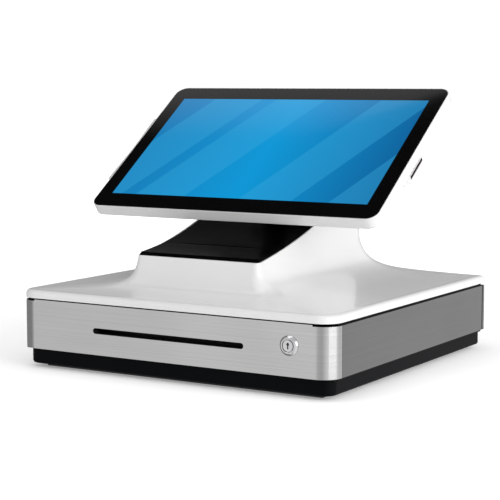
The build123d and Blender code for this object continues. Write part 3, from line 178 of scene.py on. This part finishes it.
def new_material(name, **sockets):
    """A principled material with its uniform numbers on its own sockets, and its graph."""
    made = bpy.data.materials.new(name)
    made.use_nodes = True
    shader = made.node_tree.nodes["Principled BSDF"]
    for socket, value in sockets.items():
        shader.inputs[socket.replace("_", " ")].default_value = value
    return made, Graph(made.node_tree), shader


def two_tone(graph, shader, dark, light, share):
    """Base colour that wanders between two tones."""
    graph.feed(shader.inputs["Base Color"], graph.blend(share, dark, light))


# ---- materials of the record's slots ------------------------------------------------------
def white_gloss():
    """Polished white plastic under a thin clear coat, with a very faint waviness."""
    made, graph, shader = new_material("white_gloss", IOR=1.49, Coat_Weight=0.25, Coat_Roughness=0.04)
    clouds = graph.noise(9.0, detail=2.0)
    two_tone(graph, shader, paint("cfcfcf"), paint("d6d6d6"), clouds)
    fine = graph.noise(420.0, detail=2.0)
    graph.feed(shader.inputs["Roughness"], graph.spread(fine, 0.13, 0.2))
    graph.feed(shader.inputs["Normal"], graph.bump(graph.noise(130.0, detail=2.0), 0.04, 0.0004))
    return made


def black_gloss():
    """Polished black plastic with a little dust."""
    made, graph, shader = new_material("black_gloss", IOR=1.45, Specular_IOR_Level=0.01)
    two_tone(graph, shader, paint("010102"), paint("030304"), graph.noise(22.0))
    dust = graph.noise(650.0, detail=4.0)
    graph.feed(shader.inputs["Roughness"], graph.spread(dust, 0.12, 0.26))
    graph.feed(shader.inputs["Normal"], graph.bump(graph.noise(160.0), 0.05, 0.0004))
    return made


def moulded(name, dark, light, rough=(0.42, 0.6), grain=1500.0, depth=0.00012):
    """Moulded plastic with a fine spark-eroded grain."""
    made, graph, shader = new_material(name, IOR=1.46)
    two_tone(graph, shader, dark, light, graph.noise(30.0))
    pits = graph.cells(grain)
    graph.feed(shader.inputs["Roughness"], graph.spread(pits, rough[1], rough[0]))
    graph.feed(shader.inputs["Normal"], graph.bump(pits, 0.35, depth))
    return made


def powder_coat(name, dark, light):
    """Powder-coated sheet metal with a slight orange peel."""
    made, graph, shader = new_material(name, IOR=1.5, Specular_IOR_Level=0.05)
    two_tone(graph, shader, dark, light, graph.noise(14.0))
    peel = graph.noise(700.0, detail=3.0)
    graph.feed(shader.inputs["Roughness"], graph.spread(peel, 0.4, 0.55))
    graph.feed(shader.inputs["Normal"], graph.bump(peel, 0.3, 0.00025))
    return made


def brushed(name, dark, light, stretch):
    """Brushed metal: long fine streaks, with a wider drift of tone beneath them."""
    made, graph, shader = new_material(name, Metallic=1.0, Anisotropic=0.8, Anisotropic_Rotation=0.25)
    streaks = graph.noise(1.0, stretch, detail=5.0, roughness=0.7)
    drift = graph.noise(7.0, detail=2.0)
    tone = graph.calc("MULTIPLY_ADD", graph.calc("SUBTRACT", drift, 0.5), 0.5, streaks)
    two_tone(graph, shader, dark, light, graph.spread(tone, 0.0, 1.0, (0.1, 0.9)))
    graph.feed(shader.inputs["Roughness"], graph.spread(streaks, 0.2, 0.3))
    graph.feed(shader.inputs["Normal"], graph.bump(streaks, 0.1, 0.00005))
    tangent = graph.add("ShaderNodeTangent", direction_type="RADIAL", axis="Z")
    graph.feed(shader.inputs["Tangent"], tangent.outputs[0])
    return made


def zinc_sheet():
    """Galvanised sheet with its spangle of crystals."""
    made, graph, shader = new_material("zinc_sheet", Metallic=1.0)
    spangle = graph.cells(240.0, output="Color")
    flake = graph.vector("DOT_PRODUCT", spangle, (0.4, 0.3, 0.3))
    two_tone(graph, shader, paint("8c9094"), paint("b4b7ba"), flake)
    scuffs = graph.noise(55.0, (1, 6, 6), detail=5.0)
    graph.feed(shader.inputs["Roughness"], graph.spread(scuffs, 0.28, 0.5))
    graph.feed(shader.inputs["Normal"], graph.bump(scuffs, 0.1, 0.0001))
    return made


def turned(name, dark, light, rough=(0.06, 0.16)):
    """Bright turned or plated metal with faint tool marks."""
    made, graph, shader = new_material(name, Metallic=1.0)
    marks = graph.noise(2600.0, (1, 0.25, 1), detail=2.0)
    two_tone(graph, shader, dark, light, graph.noise(90.0))
    graph.feed(shader.inputs["Roughness"], graph.spread(marks, *rough))
    graph.feed(shader.inputs["Normal"], graph.bump(marks, 0.08, 0.00004))
    return made


def rubber():
    """Matt black rubber."""
    made, graph, shader = new_material("rubber", IOR=1.5, Sheen_Weight=0.08)
    two_tone(graph, shader, paint("0b0b0c"), paint("1b1b1c"), graph.noise(60.0, detail=5.0))
    grain = graph.noise(1400.0, detail=3.0)
    graph.feed(shader.inputs["Roughness"], graph.spread(grain, 0.62, 0.85))
    graph.feed(shader.inputs["Normal"], graph.bump(grain, 0.4, 0.0002))
    return made


def paper():
    """Thermal paper: fine windings on the roll's ends and a soft fibre grain."""
    made, graph, shader = new_material("paper", IOR=1.4)
    low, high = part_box("paper_roll")
    axis = ((low + high) / 2).to_tuple()
    coords = graph.add("ShaderNodeTexCoord").outputs["Object"]
    from_axis = graph.vector("MULTIPLY", graph.vector("SUBTRACT", coords, axis), (0, 1, 1))
    radius = graph.vector("LENGTH", from_axis)
    winding = graph.calc("SINE", graph.calc("MULTIPLY", radius, 9000.0))
    fibre = graph.noise(900.0, (1, 0.3, 1), detail=5.0)
    tone = graph.calc("MULTIPLY_ADD", winding, 0.16, fibre)
    two_tone(graph, shader, paint("d9d6cd"), paint("f4f2ec"), graph.spread(tone, 0, 1, (0.2, 0.7)))
    graph.feed(shader.inputs["Roughness"], graph.spread(fibre, 0.55, 0.75))
    graph.feed(shader.inputs["Normal"], graph.bump(tone, 0.25, 0.0001))
    return made


def circuit_board():
    """Solder mask with copper tracks showing through as lighter lines."""
    made, graph, shader = new_material("board_green", IOR=1.5)
    bricks = graph.add("ShaderNodeTexBrick", offset=0.37, squash=0.6)
    graph.feed(bricks.inputs["Vector"], graph.place((1, 1, 0.3)))
    bricks.inputs["Scale"].default_value = 160.0
    bricks.inputs["Mortar Size"].default_value = 0.035
    tracks = graph.calc("SUBTRACT", 1.0, bricks.outputs["Fac"])
    pads = graph.spread(graph.cells(420.0), 0.0, 1.0, (0.16, 0.12))
    mask = graph.blend(tracks, paint("0f7a3c"), paint("065226"))
    graph.feed(shader.inputs["Base Color"], graph.blend(pads, mask, paint("b9b39a")))
    graph.feed(shader.inputs["Roughness"], graph.spread(graph.noise(300.0), 0.22, 0.4))
    graph.feed(shader.inputs["Normal"], graph.bump(tracks, 0.25, 0.00005))
    return made


def reader_window():
    """Nearly black red filter in front of the code reader."""
    made, graph, shader = new_material("reader_window", IOR=1.5, Specular_IOR_Level=0.06)
    two_tone(graph, shader, paint("0a0203"), paint("1c0407"), graph.noise(120.0))
    graph.feed(shader.inputs["Roughness"], graph.spread(graph.noise(500.0), 0.05, 0.12))
    return made


def flat_slab(node):
    """Middle, and the across, up and outward directions, of a flat tilted node, and its half sizes."""
    mesh = nodes[node].data
    outward = max(mesh.polygons, key=lambda face: face.area).normal.copy()
    if outward.z < 0:
        outward.negate()
    across = Vector((1, 0, 0))
    up = outward.cross(across)
    low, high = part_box(node)
    middle = (low + high) / 2
    half_w = (high.x - low.x) / 2
    half_h = max(abs((v.co - middle).dot(up)) for v in mesh.vertices)
    half_t = max(abs((v.co - middle).dot(outward)) for v in mesh.vertices)
    return middle, (across, up, outward), (half_w, half_h, half_t)


# lit area of a 15.6 inch panel
LIT_W, LIT_H = 344.2 * MM, 193.6 * MM


def beside(graph, spot, a, b, soft):
    """1 on the left of the line from a to b on the screen, 0 on its right."""
    run, rise = b[0] - a[0], b[1] - a[1]
    length = math.hypot(run, rise)
    left = (-rise / length, run / length, 0)
    offset = left[0] * a[0] + left[1] * a[1]
    across = graph.vector("DOT_PRODUCT", spot, left)
    return graph.calc("MULTIPLY_ADD", across, 1 / soft, 0.5 - offset / soft, clamp=True)


def convex(graph, spot, corners, soft=0.004):
    """1 inside a convex shape whose corners run anticlockwise."""
    inside = None
    for a, b in zip(corners, corners[1:] + corners[:1]):
        side = beside(graph, spot, a, b, soft)
        inside = side if inside is None else graph.calc("MINIMUM", inside, side)
    return inside


# plain picture on the lit screen: a blue gradient crossed by parallel slanted bands
BAND_STARTS = (-0.16, 0.10, 0.52, 0.86)
BAND_WIDTH = 0.20
BAND_LEAN = 0.30
BAND_STRENGTH = 0.32


def wallpaper(graph, spot):
    """Blue gradient with paler slanted bands; spot runs from 0 to 1 across and up the lit area."""
    split = graph.add("ShaderNodeSeparateXYZ")
    graph.feed(split.inputs[0], spot)
    colour = graph.ramp(
        split.outputs[0],
        [(0.0, paint("147cb8")), (0.5, paint("0a97d6")), (1.0, paint("0a659f"))],
    )
    for start in BAND_STARTS:
        end = start + BAND_WIDTH
        corners = [(start, 0.0), (end, 0.0), (end + BAND_LEAN, 1.0), (start + BAND_LEAN, 1.0)]
        share = graph.calc("MULTIPLY", convex(graph, spot, corners), BAND_STRENGTH)
        colour = graph.blend(share, colour, paint("35a9dd"))
    return colour


def cover_glass():
    """Glass with a printed black border and the lit picture behind it."""
    made, graph, shader = new_material("cover_glass", IOR=1.5, Emission_Strength=1.0)
    middle, axes, half = flat_slab("touch_glass")
    per_metre = (1 / LIT_W, 1 / LIT_H, 1.0)
    coords = graph.add("ShaderNodeTexCoord").outputs["Object"]
    local = graph.vector("SUBTRACT", coords, middle.to_tuple())
    parts = [
        graph.vector("DOT_PRODUCT", local, (axis * size).to_tuple())
        for axis, size in zip(axes, per_metre)
    ]
    join = graph.add("ShaderNodeCombineXYZ")
    for socket, value in zip(join.inputs, parts):
        graph.feed(socket, value)
    spot = graph.vector("ADD", join.outputs[0], (0.5, 0.5, 0.0))
    lit = convex(graph, spot, [(0, 0), (1, 0), (1, 1), (0, 1)], 0.002)
    facing = graph.calc("GREATER_THAN", parts[2], half[2] * 0.5)
    shown = graph.calc("MULTIPLY", lit, facing)
    graph.feed(shader.inputs["Emission Color"], graph.blend(shown, grey(0.0), wallpaper(graph, spot)))
    two_tone(graph, shader, paint("030304"), paint("060607"), graph.noise(40.0))
    smears = graph.noise(26.0, (1, 2.5, 1), detail=4.0)
    graph.feed(shader.inputs["Roughness"], graph.spread(smears, 0.02, 0.06))
    return made


def slot_materials():
    """One finished material for each of the record's slots."""
    steel_streaks, sink_streaks = (3.0, 3.0, 2600.0), (900.0, 3.0, 3.0)
    return {
        "rubber": rubber(),
        "plinth_black": powder_coat("plinth_black", paint("010203"), paint("030507")),
        "chassis_black": powder_coat("chassis_black", paint("060707"), paint("0c0d0e")),
        "zinc_sheet": zinc_sheet(),
        "steel_front": brushed("steel_front", paint("a0a0a0"), paint("c1c1c1"), steel_streaks),
        # painted shade: steel_side is the same brushed steel as steel_front, in a darker tone that
        # stands in for the shade on the sides
        "steel_side": brushed("steel_side", paint("5f5f5f"), paint("7a7a7a"), steel_streaks),
        "white_gloss": white_gloss(),
        "black_gloss": black_gloss(),
        "black_plastic": moulded("black_plastic", paint("101011"), paint("1a1a1c")),
        "grey_plastic": moulded("grey_plastic", paint("c0c2c4"), paint("cdcfd0"), (0.3, 0.45)),
        "paper": paper(),
        "steel_pin": turned("steel_pin", paint("a0a2a4"), paint("c0c2c4"), (0.14, 0.3)),
        "screw_steel": turned("screw_steel", paint("55585b"), paint("7d8083"), (0.22, 0.4)),
        "chrome": turned("chrome", paint("b4b4b5"), paint("cacacb")),
        "socket_metal": turned("socket_metal", paint("b0b0ac"), paint("cfcfcb"), (0.18, 0.34)),
        "board_green": circuit_board(),
        "sink_aluminium": brushed("sink_aluminium", paint("9a9ca0"), paint("b8babd"), sink_streaks),
        "gear_plastic": moulded("gear_plastic", paint("cfcabb"), paint("ddd9cc"), (0.35, 0.5), 2200.0),
        "cover_glass": cover_glass(),
        "panel_black": moulded("panel_black", paint("08080a"), paint("101013"), (0.25, 0.4)),
        "till_black": moulded(
            "till_black", paint("141416"), paint("1f1f21"), (0.38, 0.55), grain=1100.0, depth=0.0002
        ),
        "reader_window": reader_window(),
    }


# edge rounding of nodes in millimetres
ROUNDED = {
    "side_panels": 0.3, "rear_panel": 0.3, "base_tray": 0.5, "foot_strips": 0.5,
    "card_reader_body": 0.35, "card_reader_guide": 0.35, "code_reader_pod": 0.3,
    "till_tray": 0.5, "printer_frame": 0.3, "tilt_bracket": 0.3, "neck_bracket": 0.3,
    "drawer_box": 0.3, "printer_lid": 0.35, "ramp_cover": 0.3, "pylon_rear_cover": 0.3,
    "lock_housing": 0.2, "lock_plug": 0.15, "power_button": 0.2,
}
WELD_REACH = 0.001 * MM
ROUND_OVER = math.radians(35)


def dress_nodes(finishes):
    """Gives every CAD node its slot's finish, and some of them slightly rounded edges."""
    for part in frame["record"]["subparts"]:
        node = nodes[part["node"]]
        node.data.materials.clear()
        node.data.materials.append(finishes[part["material_slot"]])
        if part["node"] in ROUNDED:
            weld = node.modifiers.new("weld", "WELD")
            weld.merge_threshold = WELD_REACH
            bevel = node.modifiers.new("rounded_edges", "BEVEL")
            bevel.width = ROUNDED[part["node"]] * MM
            bevel.segments = 2
            bevel.limit_method = "ANGLE"
            bevel.angle_limit = ROUND_OVER
            flatten = node.modifiers.new("flat_faces", "WEIGHTED_NORMAL")
            flatten.mode = "FACE_AREA"
            flatten.weight = 50
            flatten.keep_sharp = True


# ---- stage --------------------------------------------------------------------------------
STAGE_REACH = 12.0
# the floor's glow near the object and far from it, and the distances at which they hold
GLOW_NEAR, GLOW_FAR, GLOW_SPAN = 0.26, 1.0, (0.4, 2.6)


def add_object(shape, name):
    """Turns a bmesh into an object of the scene."""
    mesh = bpy.data.meshes.new(name)
    shape.to_mesh(mesh)
    shape.free()
    made = bpy.data.objects.new(name, mesh)
    scene.collection.objects.link(made)
    return made


def make_floor():
    """Plain pale floor that glows more far from the object, and is left out of reflections."""
    shape = bmesh.new()
    bmesh.ops.create_grid(shape, x_segments=2, y_segments=2, size=STAGE_REACH)
    floor = add_object(shape, "floor")
    made, graph, shader = new_material("floor", Roughness=0.9, Emission_Color=grey(1.0))
    distance = graph.vector("LENGTH", graph.add("ShaderNodeTexCoord").outputs["Object"])
    glow = graph.spread(distance, GLOW_NEAR, GLOW_FAR, GLOW_SPAN)
    graph.feed(shader.inputs["Emission Strength"], glow)
    two_tone(graph, shader, grey(0.93), grey(0.95), graph.noise(1.5))
    floor.data.materials.append(made)
    floor.visible_glossy = False
    return floor


def make_surround():
    """Plain white surround that only the camera sees."""
    shape = bmesh.new()
    bmesh.ops.create_uvsphere(shape, u_segments=48, v_segments=24, radius=STAGE_REACH)
    surround = add_object(shape, "surround")
    made, graph, shader = new_material(
        "surround", Emission_Strength=1.0, Base_Color=grey(0.0), Specular_IOR_Level=0.0
    )
    glow = graph.blend(graph.noise(0.1), grey(1.0), grey(1.03))
    graph.feed(shader.inputs["Emission Color"], glow)
    surround.data.materials.append(made)
    for rays in ("diffuse", "glossy", "transmission", "volume_scatter", "shadow"):
        setattr(surround, "visible_" + rays, False)
    return surround


def bounce(direction, normal):
    """Direction of a ray after it reflects on a plane."""
    return direction - 2 * direction.dot(normal) * normal


def mirrored(u, v):
    """Direction that the camera sees in the screen's glass, at u across and v up the lit area."""
    middle, (across, up, outward), _ = flat_slab("touch_glass")
    spot = middle + across * (u - 0.5) * LIT_W + up * (v - 0.5) * LIT_H
    return bounce((spot - scene.camera.location).normalized(), outward)


def dividing_plane(a, b, inside):
    """Normal of the plane through two directions, pointing to the side that a third is on."""
    normal = a.cross(b).normalized()
    return normal if normal.dot(inside) >= 0 else -normal


# dark flag over the screen: degrees from its middle where it ends and where it is full
FLAG_END, FLAG_FULL = 30, 17
FLAG_TONE, STRIP_TONE = 0.02, 0.53
# straight edge of the paler strip, and where the strip fades in, as places on the lit area
STRIP_FROM, STRIP_TO = (0.235, 0.213), (0.952, 0.999)
FADE_START, FADE_FULL = 0.6, 1.06


def over_screen(graph, aim, dome):
    """The surroundings with the flag and its strip laid over them."""
    centre = mirrored(0.5, 0.5).normalized()
    near = graph.vector("DOT_PRODUCT", aim, centre.to_tuple())
    reach = [math.cos(math.radians(angle)) for angle in (FLAG_END, FLAG_FULL)]
    flag = graph.spread(near, 0.0, 1.0, reach)
    edge = dividing_plane(mirrored(*STRIP_FROM), mirrored(*STRIP_TO), mirrored(0.2, 0.9))
    beyond = graph.vector("DOT_PRODUCT", aim, edge.to_tuple())
    level = dividing_plane(mirrored(0.0, FADE_START), mirrored(1.0, FADE_START), mirrored(0.5, 1.0))
    height = graph.vector("DOT_PRODUCT", aim, level.to_tuple())
    full = level.dot(mirrored(0.5, FADE_FULL).normalized())
    fade = graph.spread(height, 0.0, 1.0, (0.0, full))
    strip = graph.calc("MULTIPLY", graph.calc("GREATER_THAN", beyond, 0.0), fade)
    card = graph.blend(strip, grey(FLAG_TONE), grey(STRIP_TONE))
    return graph.blend(flag, dome, card)


# brightness round the horizon by share of a turn from -X, anticlockwise:
# 0.25 is the front, 0.5 the right, 0.75 the back
RING = (
    (0.00, 0.38), (0.10, 0.42), (0.128, 0.95), (0.145, 1.1), (0.20, 1.1), (0.24, 0.75),
    (0.305, 0.68), (0.37, 1.1), (0.40, 1.2), (0.54, 1.3), (0.58, 1.05), (0.63, 0.9),
    (0.66, 1.1), (0.70, 1.0), (0.76, 0.45), (0.86, 0.3), (1.00, 0.38),
)


# tones overhead towards the front and the back; the heights over which the ring gives way
# to them, and the depths over which the one gives way to the other
TOP_FRONT, TOP_BEHIND = 0.86, 0.36
TOP_SPAN, BEHIND_SPAN = (0.35, 0.75), (-0.2, 0.6)


def make_world():
    """Studio surroundings: bright cards all round with darker gaps, and a flag over the screen."""
    world = bpy.data.worlds.new("studio")
    scene.world = world
    world.use_nodes = True
    graph = Graph(world.node_tree)
    sky = world.node_tree.nodes["Background"]
    aim = graph.add("ShaderNodeTexCoord").outputs["Generated"]
    split = graph.add("ShaderNodeSeparateXYZ")
    graph.feed(split.inputs[0], aim)
    turn = graph.add("ShaderNodeTexGradient", gradient_type="RADIAL")
    graph.feed(turn.inputs[0], aim)
    ring = graph.ramp(turn.outputs["Fac"], [(share, grey(level)) for share, level in RING])
    top = graph.spread(split.outputs[2], 0.0, 1.0, TOP_SPAN)
    behind = graph.spread(split.outputs[1], 0.0, 1.0, BEHIND_SPAN)
    dome = graph.blend(top, ring, graph.blend(behind, grey(TOP_FRONT), grey(TOP_BEHIND)))
    graph.feed(sky.inputs["Color"], over_screen(graph, aim, dome))
    sky.inputs["Strength"].default_value = 1.0


def add_area(name, spot, target, size, power):
    """Soft rectangular light aimed at a point."""
    data = bpy.data.lights.new(name, "AREA")
    data.shape = "RECTANGLE"
    data.size, data.size_y = size
    data.energy = power
    light = bpy.data.objects.new(name, data)
    light.location = spot
    light.rotation_euler = (Vector(target) - Vector(spot)).to_track_quat("-Z", "Y").to_euler()
    scene.collection.objects.link(light)


def make_lights():
    """A large soft light from the right and a weak one from overhead."""
    add_area("softbox_right", (2.7, -0.55, 0.8), (0, 0, 0.15), (2.4, 1.6), 43.0)
    add_area("softbox_top", (-0.6, -0.4, 2.6), (0, 0, 0.1), (1.8, 1.8), 11.0)


# ---- extra pieces -------------------------------------------------------------------------
def finish_piece(shape, name, body, slot, finishes):
    """Turns a bmesh into a smooth-shaded piece that rides on a body."""
    piece = add_object(shape, name)
    for face in piece.data.polygons:
        face.use_smooth = True
    piece.data.materials.append(finishes[slot])
    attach(piece, body)
    return piece


# a direction that no wire runs along
ASKEW = Vector((0.9, 0.1, 0.43))


def sweep_wire(shape, path, radius, sides=8):
    """Adds a round wire along a path of points."""
    rings = []
    for index, spot in enumerate(path):
        ahead = path[min(index + 1, len(path) - 1)] - path[max(index - 1, 0)]
        ahead.normalize()
        out = ahead.cross(ASKEW).normalized()
        over = ahead.cross(out)
        turns = [2 * math.pi * step / sides for step in range(sides)]
        rings.append([
            shape.verts.new(spot + radius * (math.cos(turn) * out + math.sin(turn) * over))
            for turn in turns
        ])
    for ring, after in zip(rings, rings[1:]):
        for step in range(sides):
            beyond = (step + 1) % sides
            shape.faces.new((ring[step], ring[beyond], after[beyond], after[step]))
    shape.faces.new(rings[0][::-1])
    shape.faces.new(rings[-1])


CLIPS = 5
COIL_R, COIL_WIRE_R, COILS, COIL_PITCH = 2.75 * MM, 0.35 * MM, 6, 0.85 * MM
COIL_STEPS = 20
CLIP_GAP = 0.8 * MM
FIRST_LEG, LAST_LEG, LAST_LEG_SET = 7 * MM, 6 * MM, 0.2 * MM


def make_clip_springs(finishes):
    """A torsion spring on the rod beside each note clip, with both legs pointing back."""
    rod_low, rod_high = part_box("clip_rod")
    rod_y, rod_z = (rod_low.y + rod_high.y) / 2, (rod_low.z + rod_high.z) / 2
    for index in range(1, CLIPS + 1):
        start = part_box("bill_clip_%d" % index)[1].x + CLIP_GAP
        path = [Vector((start, rod_y + FIRST_LEG, rod_z - COIL_R))]
        for step in range(COILS * COIL_STEPS + 1):
            turn = 2 * math.pi * step / COIL_STEPS - math.pi / 2
            x = start + COIL_PITCH * step / COIL_STEPS
            path.append(Vector((x, rod_y + COIL_R * math.cos(turn), rod_z + COIL_R * math.sin(turn))))
        path.append(path[-1] + Vector((LAST_LEG_SET, LAST_LEG, 0)))
        shape = bmesh.new()
        sweep_wire(shape, path, COIL_WIRE_R)
        finish_piece(shape, "clip_spring_%d" % index, "drawer", "steel_pin", finishes)


# lock housing in millimetres: how far it stands out of the drawer's face, and its radii
LOCK_PROUD = 3.2
LOCK_BORE_R, LOCK_GROOVE_R, LOCK_LIP_R, LOCK_CONE_R, LOCK_NECK_R = 6.06, 6.9, 8.45, 10.75, 8.8
LOCK_SEGMENTS = 96
SHARP_ANGLE = math.radians(25)


def make_lock_ring(finishes):
    """Turned housing of the drawer lock: a wide cone, a flat lip and a deep groove round the plug."""
    low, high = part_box("lock_housing")
    across, height = (low.x + high.x) / 2, (low.z + high.z) / 2
    face = low.y + LOCK_PROUD * MM
    tail = (high.y - face) / MM
    # radius, and depth behind the drawer's face
    profile = [
        (LOCK_BORE_R, tail), (LOCK_BORE_R, 1.2), (LOCK_GROOVE_R, 1.2), (LOCK_GROOVE_R, -2.9),
        (7.2, -3.17), (8.1, -3.17), (LOCK_LIP_R, -3.0), (10.45, -0.95), (LOCK_CONE_R, -0.55),
        (LOCK_CONE_R, 0.0), (LOCK_NECK_R, 0.0), (LOCK_NECK_R, tail),
    ]
    shape = bmesh.new()
    rings = []
    for step in range(LOCK_SEGMENTS):
        turn = 2 * math.pi * step / LOCK_SEGMENTS
        rings.append([
            shape.verts.new((
                across + radius * MM * math.cos(turn),
                face + depth * MM,
                height + radius * MM * math.sin(turn),
            ))
            for radius, depth in profile
        ])
    for ring, after in zip(rings, rings[1:] + rings[:1]):
        for place in range(len(profile)):
            beyond = (place + 1) % len(profile)
            shape.faces.new((ring[place], after[place], after[beyond], ring[beyond]))
    bmesh.ops.recalc_face_normals(shape, faces=shape.faces)
    for edge in shape.edges:
        if edge.calc_face_angle() > SHARP_ANGLE:
            edge.smooth = False
    housing = finish_piece(shape, "lock_ring", "drawer", "chrome", finishes)
    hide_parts("lock_housing")


SOCKET_PITCH = 21.5 * MM
SOCKETS = 8
# deep jacks, in millimetres: place in the row, width, and how high the contact tips are in the row
JACKS = ((5, 16.0, 9.6), (6, 13.0, 8.2))
JACK_WALLS = 5.0
JACK_WIRES = 8
CONTACT_R = 0.22 * MM


def make_jack_contacts(finishes):
    """Sprung contact wires in the two deep jacks at the back."""
    low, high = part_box("port_sockets")
    back, mouth = high.y - 8.6 * MM, high.y - 2.5 * MM
    shape = bmesh.new()
    for place, width, tip in JACKS:
        middle = (place - (SOCKETS - 1) / 2) * SOCKET_PITCH
        spacing = (width - JACK_WALLS) / JACK_WIRES * MM
        top = low.z + tip * MM
        for wire in range(JACK_WIRES):
            x = middle + (wire - (JACK_WIRES - 1) / 2) * spacing
            path = [
                Vector((x, back, top - 4.6 * MM)),
                Vector((x, (back + mouth) / 2, top - 2.6 * MM)),
                Vector((x, mouth, top)),
            ]
            sweep_wire(shape, path, CONTACT_R, 6)
    finish_piece(shape, "jack_contacts", "base", "socket_metal", finishes)


make_camera()
scene.view_settings.view_transform = "Standard"
finishes = slot_materials()
dress_nodes(finishes)
make_floor()
make_surround()
make_world()
make_lights()
make_clip_springs(finishes)
make_lock_ring(finishes)
make_jack_contacts(finishes)
